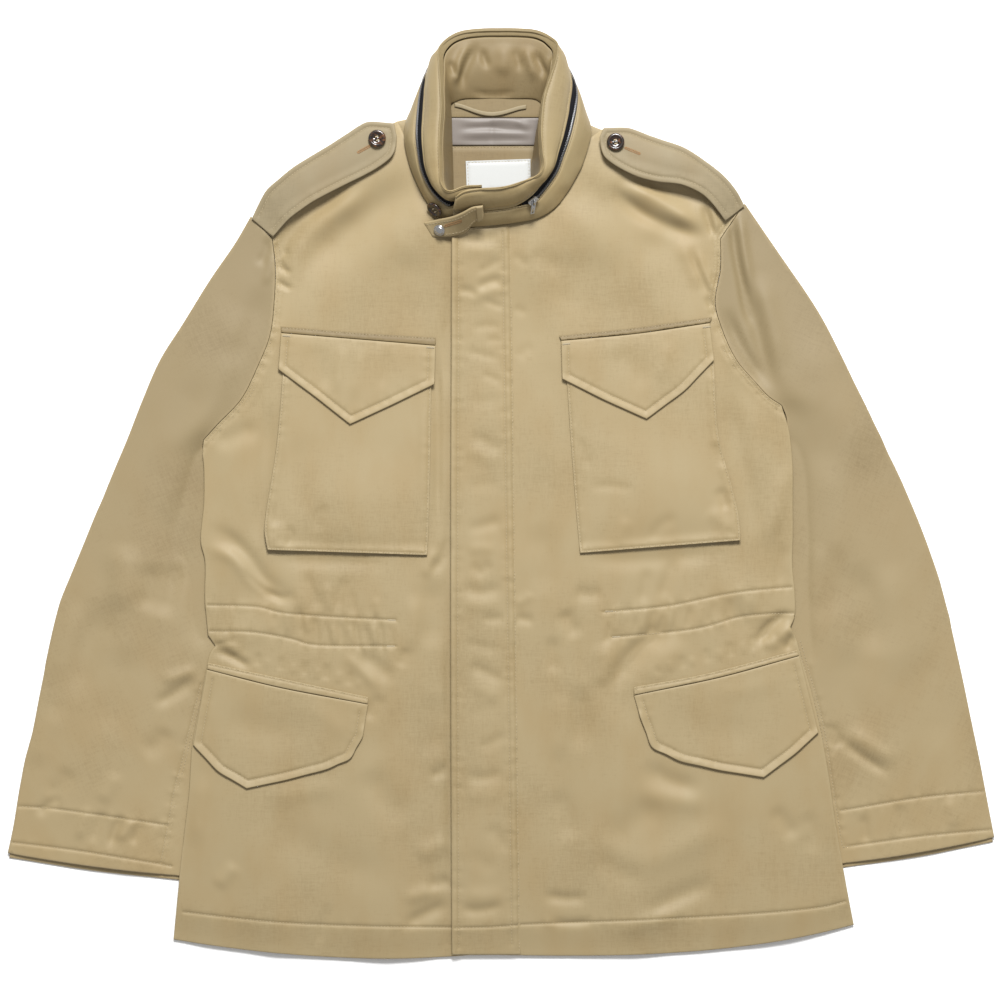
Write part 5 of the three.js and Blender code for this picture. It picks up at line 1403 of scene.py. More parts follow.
def body_height(x, y):
    """Height of the fronts' and placket's cloth under a place."""
    place = np.array([[x, y]])
    under = [CLOTHS[name] for name in BODY if in_loop(place, CLOTHS[name].outline)[0]]
    if not under:
        under = [CLOTHS[BODY[0] if x < 0 else BODY[1]]]
    return max(float(cloth.heights.at(place)[0]) for cloth in under)


def collar_columns():
    """The collar's table in metres. It runs from the end that lies underneath to the end on top.

    A base whose height is -1 stands on the cloth under it."""
    table = np.array(COLLAR, float) * MM
    for row, values in zip(table, COLLAR):
        if values[2] < 0:
            row[2] = body_height(row[0], row[1]) + COLLAR_SEAT
    return table


def collar_sections(at):
    """The nine places of each station's section, outside from base to crest and down the inside."""
    base, zip_line, crest, inner = (catmull(COLLAR_TABLE[:, k:k + 3], at) for k in (0, 3, 6, 9))
    before = catmull(COLLAR_TABLE[:, 3:6], np.maximum(at - STATION_STEP, 0))
    after = catmull(COLLAR_TABLE[:, 3:6], np.minimum(at + STATION_STEP, COLLAR_END))
    outward = unit(np.cross(crest - base, after - before))
    bulge = smooth((outward[:, 2:] + 0.8) / 0.6)
    share = np.clip(np.minimum(at - ZIP_FIRST + 1, ZIP_LAST + 1 - at), 0.02, 1)[:, None]
    teeth = ZIP_HALF_WIDTH * share
    rim_width = np.interp(at, np.arange(COLLAR_END + 1), COLLAR_TABLE[:, 12])[:, None]
    rim = crest - outward * RIM_ALONG * rim_width + unit(inner - crest) * RIM_IN * rim_width
    back = smooth((rim_width - 6.5 * MM) / (2.5 * MM))
    rim[:, 2:] -= BACK_DROP * rim_width * back
    middle = (rim + inner) / 2
    middle[:, 2:] += BACK_PUFF * back
    places = [
        base,
        (base + zip_line) / 2 + outward * STAND_BULGE * bulge,
        zip_line - unit(zip_line - base) * teeth,
        zip_line + unit(crest - zip_line) * teeth,
        zip_line + (crest - zip_line) * 0.55 + outward * COLLAR_BULGE * bulge,
        crest,
        rim,
        middle,
        inner,
    ]
    return np.stack(places, 1)


def section_curve(section, at):
    """Places along one section, with a sharp fold at its crest."""
    outside = catmull(section[:CREST + 1], np.minimum(at, CREST))
    inside = catmull(section[CREST:], np.maximum(at - CREST, 0))
    return np.where((at <= CREST)[:, None], outside, inside)


def column_distances(length, spacing, rows):
    """Distances of a strip's columns from its edge: closer at both edges and round each row of stitches."""
    edges = [*EDGE_INSETS, *(length - d for d in EDGE_INSETS)]
    count = max(int(length / spacing), 2)
    inner = np.linspace(EDGE_INSETS[-1], length - EDGE_INSETS[-1], count + 1)[1:-1]
    inner = [d for d in inner if all(abs(d - row) > COLUMN_TO_ROW for row in rows)]
    inner += [row + off for row in rows for off in ROW_COLUMNS]
    return np.array(sorted(edges + [d for d in inner if COLUMN_TO_EDGE < d < length - COLUMN_TO_EDGE]))


def collar_strip(stations, first, last, spacing, rows=(), raise_by=0.0):
    """A grid of places on the collar between two places of its section, with its normals.

    Rows of stitches are distances from the first edge, or from the crest or last edge where below 0."""
    sections = collar_sections(stations)
    breaks = [first, CREST, last] if first < CREST < last else [first, last]
    grids, columns, lines = [], [], []
    for number, (start, end) in enumerate(zip(breaks, breaks[1:])):
        dense = np.stack([section_curve(s, np.linspace(start, end, 41)) for s in sections])
        dense[:, :, 2] = np.maximum(dense[:, :, 2], FLOOR_GAP)
        steps = np.linalg.norm(np.diff(dense, axis=1), axis=2)
        lengths = np.concatenate([np.zeros((len(dense), 1)), np.cumsum(steps, 1)], 1)
        middle_length = float(np.median(lengths[:, -1]))
        if number == 0:
            lines = [d if d > 0 else middle_length + d for d in rows]
        distances = column_distances(middle_length, spacing, lines if number == 0 else ())
        grid = np.zeros((len(stations), len(distances), 3))
        for i, along in enumerate(lengths):
            stretched = distances * along[-1] / middle_length
            for k in range(3):
                grid[i, :, k] = np.interp(stretched, along, dense[i, :, k])
        skip = 1 if number else 0
        grids.append(grid[:, skip:])
        columns.append(distances[skip:] + (columns[-1][-1] if number else 0))
    grid, distances = np.concatenate(grids, 1), np.concatenate(columns)
    normals = grid_normals(grid)
    if raise_by:
        grid = grid + normals * raise_by
        grid[:, :, 2] = np.maximum(grid[:, :, 2], FLOOR_GAP)
    return grid, normals, distances, lines


def collar_wall(name, first, last, look, nodes, flat, rows=(), creases=(), spacing=2.2 * MM, stations=None,
                slot="cloth", thickness=COLLAR_CLOTH, raise_by=0.0):
    """One wall of the collar as a cloth with sunk rows of stitches."""
    if stations is None:
        stations = np.linspace(0, COLLAR_END, 300)
    grid, normals, distances, lines = collar_strip(stations, first, last, spacing, rows, raise_by)
    flat_plan = grid[:, :, :2].reshape(-1, 2)
    height = relief(flat_plan, list(creases)).reshape(grid.shape[:2])
    along = lengths_along(grid[:, len(distances) // 2])
    for number, line in enumerate(lines):
        away = distances[None] - line
        height -= GROOVE_DEPTH * np.exp(-((away / COLLAR_GROOVE_WIDTH) ** 2))
        wave = wobble(along, PUCKER_LENGTH, 300 + number + int(first * 10))[:, None]
        height += COLLAR_PUCKER * wave * np.exp(-((away / PUCKER_WIDTH) ** 2))
    facing_floor = smooth((grid[:, :, 2] - 1.5 * MM) / (3 * MM))
    outer = grid + normals * (height * facing_floor)[:, :, None]
    outer[:, :, 2] = np.maximum(outer[:, :, 2], FLOOR_GAP)
    inner = outer - normals * thickness
    inner[:, :, 2] = np.maximum(inner[:, :, 2], FLOOR_GAP)
    for line in lines:
        column = int(np.argmin(np.abs(distances - line)))
        places = even(outer[:, column], LINE_STEP)
        here, there = np.linspace(0, 1, len(places)), np.linspace(0, 1, len(outer))
        directions = np.stack([np.interp(here, there, normals[:, column, k]) for k in range(3)], 1)
        visible = places[:, 2] > 2 * MM
        if visible.any():
            stitch_line("stitches_collar", places[visible], directions[visible])
    piece = grid_shell(name, outer, normals, thickness, look, inner)
    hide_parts(*nodes)


# Throat tab: a strap from the upper end of the collar down to its button, corners in millimetres
TAB = [
    (-73, 257, 15.5, -64.5, 243.5, 13.5),
    (-59, 259.5, 22.5, -55, 243.5, 15.5),
    (-46, 261.5, 32, -43.7, 244.5, 17.6),
    (-36, 265, 38.5, -34, 247.5, 18.2),
    (-27, 269.5, 42, -25, 256, 27),
    (-17, 271, 43, -16, 260.5, 33),
]
TAB_END = len(TAB) - 1
TAB_CLOTH = 1.6 * MM


def tab_grid(rows, across):
    """Places and normals on the tab's own surface."""
    table = np.array(TAB) * MM
    rows, across = np.asarray(rows, float), np.asarray(across, float)

    def at(where):
        top, low = catmull(table[:, :3], where), catmull(table[:, 3:], where)
        return top[:, None] + (low - top)[:, None] * across[None, :, None]

    along = at(np.minimum(rows + STATION_STEP, TAB_END)) - at(np.maximum(rows - STATION_STEP, 0))
    step = catmull(table[:, :3], rows) - catmull(table[:, 3:], rows)
    return at(rows), unit(np.cross(along, np.broadcast_to(step[:, None], along.shape)))


def tab_strip(name, rows, across, raised, thickness, replaced):
    """A strip of cloth on the tab's surface."""
    points, normals = tab_grid(rows, across)
    points = points + normals * (raised + thickness)
    piece = grid_shell(name, points, normals, thickness, TAN)
    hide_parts(replaced)
    return points, normals


# Buttons and metal
BUTTON_RADIUS = 8.3 * MM
HOLE_RADIUS = 0.95 * MM
HOLE_SPACING = 1.75 * MM
BUTTON_SIDES = 56
HOLE_SIDES = 14


def seat_of(name):
    """Middle of the foot of a disc-like node and the direction out of its face."""
    points = np.array([v.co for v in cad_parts[name].data.vertices], float)
    middle = points.mean(0)
    normal = np.linalg.svd(points - middle)[2][2]
    normal = normal * np.sign(normal[2])
    away = (points - middle) @ normal
    plane = points - np.outer(away, normal)
    side = unit(np.cross(normal, [0, 1, 0]))
    other = np.cross(normal, side)
    spans = [(plane - middle) @ axis for axis in (side, other)]
    half_way = [(span.min() + span.max()) / 2 for span in spans]
    return middle + side * half_way[0] + other * half_way[1] + normal * away.min(), normal


def placed(points, seat, normal, turn=0.0):
    """Places of a piece that is modelled on its own XY plane, moved to its seat."""
    tilt = Vector((0, 0, 1)).rotation_difference(Vector(normal)).to_matrix()
    c, s = math.cos(turn), math.sin(turn)
    turned = np.array(tilt) @ np.array([[c, -s, 0], [s, c, 0], [0, 0, 1]])
    return np.asarray(points) @ turned.T + seat


def ring(radius, sides, x=0.0, y=0.0):
    """Places evenly round a circle."""
    angle = np.arange(sides) * 2 * math.pi / sides
    return np.stack([x + radius * np.cos(angle), y + radius * np.sin(angle)], 1)


# Height of the button's face by share of its radius
BUTTON_FACE = [
    (0, 2.0), (0.42, 2.0), (0.55, 2.1), (0.66, 2.75), (0.74, 3.0), (0.86, 2.95), (0.95, 2.55), (1.0, 1.7)]
BUTTON_RINGS = (0.98, 0.95, 0.91, 0.86, 0.8, 0.74, 0.7, 0.66, 0.6, 0.55)
BUTTON_DISH = 0.47
BUTTON_THREAD_RADIUS = 0.24 * MM
BUTTON_DISH_SIDES = 24


def button(name, replaced, turn, look):
    """A button with a dished face, four holes and crossed thread."""
    seat, normal = seat_of(replaced)
    holes = [(x * HOLE_SPACING, y * HOLE_SPACING) for x, y in ((1, 1), (-1, 1), (-1, -1), (1, -1))]
    outer = ring(BUTTON_RADIUS, BUTTON_SIDES)
    rings = [ring(BUTTON_RADIUS * share, BUTTON_SIDES) for share in BUTTON_RINGS]
    rings.append(ring(BUTTON_RADIUS * BUTTON_DISH, BUTTON_DISH_SIDES))
    hole_rings = [ring(HOLE_RADIUS, HOLE_SIDES, x, y) for x, y in holes]
    bevels = [ring(HOLE_RADIUS + 0.2 * MM, HOLE_SIDES, x, y) for x, y in holes]
    points = np.vstack([outer] + rings + hole_rings + bevels)
    share = np.hypot(points[:, 0], points[:, 1]) / BUTTON_RADIUS
    z = np.interp(share, *zip(*BUTTON_FACE)) * MM
    first_hole = len(outer) + sum(len(r) for r in rings)
    z[first_hole:first_hole + 4 * HOLE_SIDES] -= 0.15 * MM
    triangles = []
    for t in triangulate(points, len(outer)):
        middle = points[t].mean(0)
        if all(np.hypot(middle[0] - x, middle[1] - y) > HOLE_RADIUS * 0.97 for x, y in holes):
            triangles.append(t)
    count = len(points)
    low = np.where(share > 0.97, 0.9 * MM, np.where(share > 0.93, 0.35 * MM, 0.0))
    low = np.where(share > 0.995, 1.1 * MM, low)
    places = np.vstack([np.column_stack([points, z]), np.column_stack([points, low])])
    faces = [tuple(t) for t in triangles] + [(count + a, count + c, count + b) for a, b, c in triangles]
    n = len(outer)
    faces += [(k, count + k, count + (k + 1) % n, (k + 1) % n) for k in range(n)]
    for h in range(4):
        start = first_hole + h * HOLE_SIDES
        for k in range(HOLE_SIDES):
            a, b = start + k, start + (k + 1) % HOLE_SIDES
            faces.append((a, b, count + b, count + a))
    piece = mesh_piece(name, placed(places, seat, normal, turn), faces, look)
    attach(piece, "jacket")
    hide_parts(replaced)
    threads = [placed(path, seat, normal, turn) for path in button_threads()]
    piece = mesh_piece(name + "_thread", *tube_mesh(threads, BUTTON_THREAD_RADIUS, 6), BUTTON_THREAD)
    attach(piece, "jacket")


def button_threads():
    """Strands from hole to hole, two pairs of holes with three strands each."""
    along = np.linspace(-1, 1, 9)
    bow = 1 - along**2
    paths = []
    for y in (-HOLE_SPACING, HOLE_SPACING):
        for strand in (-0.36 * MM, 0, 0.36 * MM):
            aside = y + strand * (0.6 + 0.4 * bow)
            paths.append(np.stack([along * HOLE_SPACING, aside, (1.3 + 1.25 * bow**0.6) * MM], 1))
    return paths


def tube_mesh(paths, radius, sides):
    """Places and faces of round tubes along paths."""
    places, faces = [], []
    for path in paths:
        tangent = unit(np.gradient(path, axis=0))
        upright = np.abs(tangent[:, 2:]) > 0.9
        side = unit(np.cross(tangent, np.where(upright, [[1.0, 0, 0]], [[0, 0, 1.0]])))
        up = np.cross(side, tangent)
        start = sum(len(p) for p in places)
        n = len(path)
        for angle in np.arange(sides) * 2 * math.pi / sides:
            places.append(path + (side * math.cos(angle) + up * math.sin(angle)) * radius)
        for corner in range(sides):
            here, after = start + corner * n, start + (corner + 1) % sides * n
            faces += [(here + k, here + k + 1, after + k + 1, after + k) for k in range(n - 1)]
        faces.append(tuple(start + corner * n for corner in range(sides)))
        faces.append(tuple(start + corner * n + n - 1 for corner in reversed(range(sides))))
    return np.vstack(places), faces


# Rim of the domed button: radius and height in millimetres
DOME_RIM = [
    (0.0, 0.0), (4.2, 0.0), (4.9, 0.15), (5.3, 0.5), (5.4, 0.85), (5.25, 1.2), (4.95, 1.42), (4.7, 1.4),
    (4.5, 1.32)]


def dome_button(name, replaced, look):
    """Plain domed metal button: a rolled rim round a smooth cap."""
    seat, normal = seat_of(replaced)
    cap = [(4.35 * math.cos(a), 1.3 + 2.1 * math.sin(a)) for a in np.linspace(0.12, math.pi / 2, 10)]
    profile = np.array(DOME_RIM + cap) * MM
    sides = 48
    angle = np.arange(sides) * 2 * math.pi / sides
    x, y = np.outer(profile[:, 0], np.cos(angle)), np.outer(profile[:, 0], np.sin(angle))
    places = np.stack([x, y, np.repeat(profile[:, 1:], sides, 1)], -1).reshape(-1, 3)
    faces = []
    for r in range(len(profile) - 1):
        for k in range(sides):
            after = (k + 1) % sides
            here, above = r * sides, (r + 1) * sides
            faces.append((here + k, here + after, above + after, above + k))
    piece = mesh_piece(name, placed(places, seat, normal), faces, look)
    turn_faces_out(piece, join=0.001 * MM)
    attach(piece, "jacket")
    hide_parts(replaced)
    return piece


def rounded_copy(name, replaced, width, look, body):
    """The CAD node's own shape with rounded edges."""
    piece = bpy.data.objects.new(name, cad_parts[replaced].data.copy())
    piece.data.name = name
    bpy.context.scene.collection.objects.link(piece)
    work = bmesh.new()
    work.from_mesh(piece.data)
    bmesh.ops.remove_doubles(work, verts=work.verts, dist=0.01 * MM)
    bmesh.ops.dissolve_limit(work, angle_limit=math.radians(4), verts=work.verts, edges=work.edges)
    inner = [edge for edge in work.edges if len(edge.link_faces) == 2]
    sharp = [edge for edge in inner if edge.calc_face_angle() > math.radians(35)]
    bmesh.ops.bevel(
        work, geom=sharp, offset=width, segments=2, profile=0.5, affect="EDGES", clamp_overlap=True)
    work.to_mesh(piece.data)
    work.free()
    piece.data.materials.clear()
    piece.data.materials.append(look)
    piece.data.polygons.foreach_set("use_smooth", [True] * len(piece.data.polygons))
    piece.data.set_sharp_from_angle(angle=math.radians(40))
    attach(piece, body)
    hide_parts(replaced)
    return piece


# Zip: a tape sunk between the collar's two walls, and a chain of teeth beside the lower wall
TEETH_PITCH = 1.25 * MM
TOOTH_LENGTH = 2.3 * MM
TOOTH_WIDTH = 0.7 * MM
TOOTH_HEIGHT = 0.9 * MM
CHAIN_FROM_EDGE = 2.0 * MM
TAPE_DEPTH = 1.0 * MM


def zip_chain():
    """The row of teeth, every other one a little to the side."""
    stations = np.linspace(ZIP_FIRST, ZIP_LAST, 520)
    grid, normals, distances, _ = collar_strip(stations, *ZIP_SECTION, 0.5 * MM)
    column = int(np.argmin(np.abs(distances - CHAIN_FROM_EDGE)))
    line = even(grid[:, column], TEETH_PITCH)
    where = lengths_along(grid[:, column])
    s = lengths_along(line) / lengths_along(line)[-1] * where[-1]
    up = unit(np.stack([np.interp(s, where, normals[:, column, k]) for k in range(3)], 1))
    tangent = unit(np.gradient(line, axis=0))
    side = unit(np.cross(up, tangent))
    above = smooth((line[:, 2] - 1.5 * MM) / (4 * MM))[:, None]
    seat = line - up * (TAPE_DEPTH - 0.55 * MM * above)
    odd = (np.arange(len(line)) % 2 * 2 - 1)[:, None]
    middle = seat + side * odd * 0.45 * MM
    corners = []
    for lift, grow in ((0.0, 1.0), (0.65, 1.0), (1.0, 0.68)):
        for x, y in ((1, 1), (-1, 1), (-1, -1), (1, -1)):
            corners.append(middle + up * TOOTH_HEIGHT * lift + tangent * x * TOOTH_WIDTH / 2 * grow
                           + side * y * TOOTH_LENGTH / 2 * grow)
    places = np.stack(corners, 1)
    places[:, :, 2] = np.maximum(places[:, :, 2], 0.05 * MM)
    pattern = [(3, 2, 1, 0), (8, 9, 10, 11)]
    for r in (0, 4):
        pattern += [(r + k, r + (k + 1) % 4, r + 4 + (k + 1) % 4, r + 4 + k) for k in range(4)]
    faces = (np.array(pattern)[None] + (np.arange(len(line)) * 12)[:, None, None]).reshape(-1, 4).tolist()
    piece = mesh_piece("zip_teeth", places.reshape(-1, 3), faces, TEETH_METAL)
    piece.data.polygons.foreach_set("use_smooth", [False] * len(piece.data.polygons))
    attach(piece, "jacket")


# Buttonholes and bar tacks
def on_piece(name):
    """Places just above a built piece and its normals, for plan places in metres."""
    mesh = bpy.data.objects[name].data
    corners = [tuple(face.vertices) for face in mesh.polygons]
    tree = BVHTree.FromPolygons([v.co for v in mesh.vertices], corners)

    def surface(xy):
        hits = [tree.ray_cast(Vector((x, y, 1)), Vector((0, 0, -1))) for x, y in np.atleast_2d(xy)]
        normals = np.array([hit[1] for hit in hits])
        return np.array([hit[0] for hit in hits]) + normals * 0.1 * MM, normals

    return surface


HOLE_HALF_WIDTH = 0.8 * MM
HOLE_PITCH = 0.5 * MM


def buttonhole(group, surface, start, end):
    """A row of close stitches round a slit: a stadium of thread on a cloth's surface."""
    start, end = plan([start, end])
    along = unit(end - start)
    across = np.array([-along[1], along[0]])
    turn = np.linspace(0, math.pi, 7)
    curl = [(along * math.sin(a) + across * math.cos(a)) * HOLE_HALF_WIDTH for a in turn]
    far, back = [end + c for c in curl], [start - c for c in curl]
    loop = even(np.array(far + back + far[:1]), HOLE_PITCH)[:-1]
    places, normals = surface(loop)
    length = np.linalg.norm(end - start)
    inner, _ = surface(start + np.clip((loop - start) @ along, 0, length)[:, None] * along)
    away = unit(places - inner)
    add_stitches(group, places - away * 0.75 * MM, places + away * 0.7 * MM, normals, 0.42 * MM)


TACK_LENGTH, TACK_WIDTH = 7 * MM, 1.9 * MM
TACK_PITCH = 0.42 * MM


def bar_tack(group, cloth, place, angle):
    """A short bar of close cross stitches."""
    turn = math.radians(angle)
    along = np.array([math.cos(turn), math.sin(turn)])
    across = np.array([-along[1], along[0]])
    count = int(TACK_LENGTH / TACK_PITCH)
    steps = (np.arange(count) / (count - 1) - 0.5)[:, None] * TACK_LENGTH
    middle = plan([place])[0] + along * steps
    z = cloth.surface(middle) + 0.12 * MM
    first = np.column_stack([middle - across * TACK_WIDTH / 2, z])
    last = np.column_stack([middle + along * 0.2 * MM + across * TACK_WIDTH / 2, z])
    add_stitches(group, first, last, cloth.normal(middle), 0.5 * MM)


# What shapes the edges of the flat-lying cloths
def near_line(points, reach, level):
    """A foot for the rolled edge near a plan line: how low the outline's wall goes there."""
    line = plan(points)

    def foot(loop, elsewhere):
        distance = np.abs(measure(loop, line)[0])
        return np.where(distance < reach, level, elsewhere)

    return foot


def corner_lift(place, rise, reach):
    """A corner that stands off what it lies on."""
    centre = plan([place])[0]

    def lift(xy):
        return rise * np.exp(-(((xy - centre) ** 2).sum(1) / reach**2))

    return lift


def edge_press(points, drop, reach):
    """An edge that is sewn down: the cloth falls to it."""
    line = plan(points)

    def lift(xy):
        return -drop * (1 - smooth(np.abs(measure(xy, line)[0]) / reach))

    return lift


BODY_CREASES = widened(BODY_CREASES, 1.2, 1.35)
SLEEVE_CREASES = widened(SLEEVE_CREASES, 1.25, 1.75)
LINING_CREASES = widened(LINING_CREASES, 1.1, 1.1)
SLEEVE_FOLD = {
    "right": [(252, 219), (223, 262), (163, 354), (128, 437), (102, 500), (61, 599), (53, 628), (35, 720),
              (22, 770), (16.6, 806), (8, 852)],
    "left": [(744, 206), (787, 265), (819, 312.5), (853, 380), (870, 414), (910, 500), (940, 580), (946, 605),
             (972, 723), (985, 791), (994.5, 837)],
}
SIDE_FOLD = {
    "right": [(179, 886), (174, 939)],
    "left": [(846, 886), (853.6, 925)],
}
PLACKET_SEWN = [(511.5, 224), (515, 330), (517, 500), (522, 925), (522, 956)]

# Edges that stand proud: cloth, plan points of the edge, rise at the edge and its reach in millimetres
CURLS = [
    ("chest_flap_right", [(280, 368), (350.6, 424.4), (434.7, 384)], 1.1, 6.6),
    ("chest_flap_left", [(562, 380), (646.5, 419), (684, 391), (714, 361)], 1.1, 6.6),
    ("lower_flap_right",
     [(196, 748), (219, 772), (247, 789), (305, 775), (340, 765), (356, 754), (364, 730)], 1.4, 7),
    ("lower_flap_left",
     [(639, 715), (645, 734), (656, 752), (720, 770), (764.5, 777), (796, 752), (818, 733)], 1.7, 7),
    ("chest_pocket_right",
     [(282, 385), (277, 449), (266, 518), (268.5, 549), (330, 554.5), (425, 555)], 1.8, 12),
    ("chest_pocket_left",
     [(582, 553), (720, 542), (740, 539.6), (730, 481), (718, 440), (714, 380)], 1.5, 12),
    ("epaulette_right", [(394, 158), (373, 173), (349, 185), (315, 202), (289, 220), (276, 236)], 2.6, 14),
    ("epaulette_left", [(604, 160), (626, 174), (660, 184), (697, 192), (708, 201), (722, 218)], 3.4, 16),
    ("placket", [(453, 240), (451, 330), (451, 500), (453, 787), (454, 954)], 1.9, 9),
]
# The hem falls, in the same terms
HEM = [
    (174, 939), (260, 951), (399, 958.5), (453, 954.5), (580, 954.5), (739, 948), (810, 941), (853.5, 924.5)]
CURLS += [(name, HEM, -2.6, 34) for name in BODY]
BODY_FLOOR = 3.3 * MM
PLACKET_PRESS = edge_press(PLACKET_SEWN, 1.6 * MM, 7 * MM)
LINING_RISE = 1.3 * MM
UNDERARM = {"right": (203, 443), "left": (784, 412)}
SLEEVE_GRAIN = {"right": math.radians(-22), "left": math.radians(22)}
SIDES = ("right", "left")

for side in SIDES:
    foot = near_line(SIDE_FOLD[side], 5 * MM, 1.8 * MM)
    Cloth("front_" + side, BODY_CLOTH, BODY_CREASES, floor=BODY_FLOOR, foot=foot)
    foot = near_line(SLEEVE_FOLD[side], 6 * MM, 0.2 * MM)
    Cloth(f"sleeve_{side}_top", BODY_CLOTH, SLEEVE_CREASES, floor=BODY_FLOOR, foot=foot)
    for kind in ("chest_pocket_", "chest_flap_"):
        Cloth(kind + side, TRIM_CLOTH, TRIM_CREASES)
    Cloth("lower_flap_" + side, TRIM_CLOTH, TRIM_CREASES, corner_turn=FLAP_CORNER_TURN[side])
    for kind in ("chest_strip_", "lower_welt_"):
        Cloth(kind + side, TRIM_CLOTH)
    Cloth("epaulette_" + side, BODY_CLOTH)
    Cloth(f"sleeve_{side}_under", BODY_CLOTH, UNDER_SLEEVE_CREASES, grid=COARSE)
Cloth("placket", BODY_CLOTH, BODY_CREASES, floor=BODY_FLOOR + BODY_CLOTH, lifts=[PLACKET_PRESS])
Cloth("back", BODY_CLOTH, BACK_CREASES, grid=COARSE)
Cloth("neck_strip", TRIM_CLOTH)
Cloth("neck_lining", TRIM_CLOTH, LINING_CREASES, lifts=[lambda xy: np.full(len(xy), LINING_RISE)])
Cloth("yoke_facing", TRIM_CLOTH)
Cloth("hanger_loop", TRIM_CLOTH, step=1.2 * MM)
Cloth("neck_label", LABEL_CLOTH)
for side in SIDES:
    front, sleeve = CLOTHS["front_" + side], CLOTHS[f"sleeve_{side}_top"]
    front.neighbours, sleeve.neighbours = [sleeve.node], [front.node]
    sleeve.grain = SLEEVE_GRAIN[side]
    for name in ("back", f"sleeve_{side}_under"):
        CLOTHS[name].reach_out(UNDERARM[side], 2 * MM, 20 * MM)
for name, points, rise, reach in CURLS:
    CLOTHS[name].lifts.append(edge_press(points, -rise * MM, reach * MM))
CLOTHS["chest_pocket_right"].lifts.append(corner_lift((268, 549), 2.4 * MM, 26 * MM))
CLOTHS["chest_pocket_left"].lifts.append(corner_lift((740, 540), 2.0 * MM, 24 * MM))

# Rows inside the outline: cloth, start, end, distance in millimetres, pucker in millimetres
EDGE_ROWS = [
    ("placket", (453, 236), (454, 954), 6.6, 0.3),
    ("placket", (521, 952), (511, 226), 1.6, 0.34),
    ("placket", (521, 952), (511, 226), 8.6, 0.3),
    ("placket", (510, 224), (455, 232), 1.8, 0.1),
    ("front_right", (254, 221), (204, 440), 2.2, 0.45),
    ("front_left", (781, 405), (742, 210), 2.2, 0.45),
    ("chest_flap_right", (281, 333), (436, 345), 6.6, 0.26),
    ("chest_flap_left", (561, 343), (713, 326), 6.6, 0.26),
    ("chest_pocket_right", (283, 372), (430, 388), 1.6, 0.22),
    ("chest_pocket_left", (568, 386), (713, 364), 1.6, 0.22),
    ("chest_strip_right", (435, 338), (282, 327), 1.5, 0.42),
    ("chest_strip_left", (711, 318), (559, 337), 1.5, 0.42),
    ("lower_welt_right", (368, 698), (209, 664), 1.7, 0.42),
    ("lower_welt_left", (797, 649), (635, 688), 1.7, 0.42),
    ("lower_flap_right", (205, 676), (367, 706), 7.0, 0.2),
    ("lower_flap_left", (637, 697), (800, 656), 7.0, 0.2),
    ("epaulette_right", (274, 238), (254, 218), 5.2, 0.1),
    ("epaulette_left", (742, 207), (724.6, 221), 5.2, 0.1),
    ("yoke_facing", (565, 147), (434, 147), 1.6, 0.08),
]
for name, start, end, distance, pucker in EDGE_ROWS:
    rows = (0, DOUBLE_ROW) if name.startswith("front") else (0,)
    CLOTHS[name].edge_row(start, end, distance * MM, pucker=pucker, rows=rows)

# Rows through plan points: cloth, points, pucker in millimetres, and how far off a second row runs
PLAN_ROWS = [
    ("front_right", [(184, 911.6), (260, 920), (319, 924), (452, 927)], 0.32),
    ("front_left", [(521, 924), (600, 921), (740, 914), (825, 906), (845, 901)], 0.32),
    ("placket", [(455, 927), (485, 926.5), (518, 924.5)], 0.25),
    ("front_right", [(208, 605), (260, 607), (279, 612), (322, 616), (396, 620)], 0.7),
    ("front_right", [(208, 631), (253, 632), (293, 639), (310, 644), (396, 646)], 0.7),
    ("front_left", [(603, 612), (669, 605.6), (720.5, 595), (746, 591), (791, 587)], 0.7),
    ("front_left", [(612, 637), (669, 632), (703, 627), (738, 617), (764, 614), (793, 613)], 0.7),
    ("sleeve_right_top", [(17, 806), (50, 808), (116, 817), (168, 825)], 0.45),
    ("sleeve_right_top", [(11, 842), (33, 844.5), (83, 851), (159, 863.5), (172, 866)], 0.32),
    ("sleeve_left_top", [(985, 791), (922, 797), (840, 810.5)], 0.45),
    ("sleeve_left_top", [(991, 829.5), (920, 836), (842, 847)], 0.32),
    ("sleeve_right_top",
     [(201, 684), (187, 740), (182, 762), (174, 792), (168, 826), (161, 862)], 0.42, DOUBLE_ROW),
    ("sleeve_left_top", [(800, 640), (823, 724), (832, 781.5), (842, 846)], 0.38, -DOUBLE_ROW),
]
for name, points, pucker, *beside in PLAN_ROWS:
    CLOTHS[name].row(points, pucker=pucker, rows=(0, *beside))
LABEL_ROW = [(467.6, 163), (529, 161), (529, 189), (468.6, 191.5)]
CLOTHS["neck_label"].seams.append(Seam(plan(LABEL_ROW + LABEL_ROW[:1]), pucker=0.05))

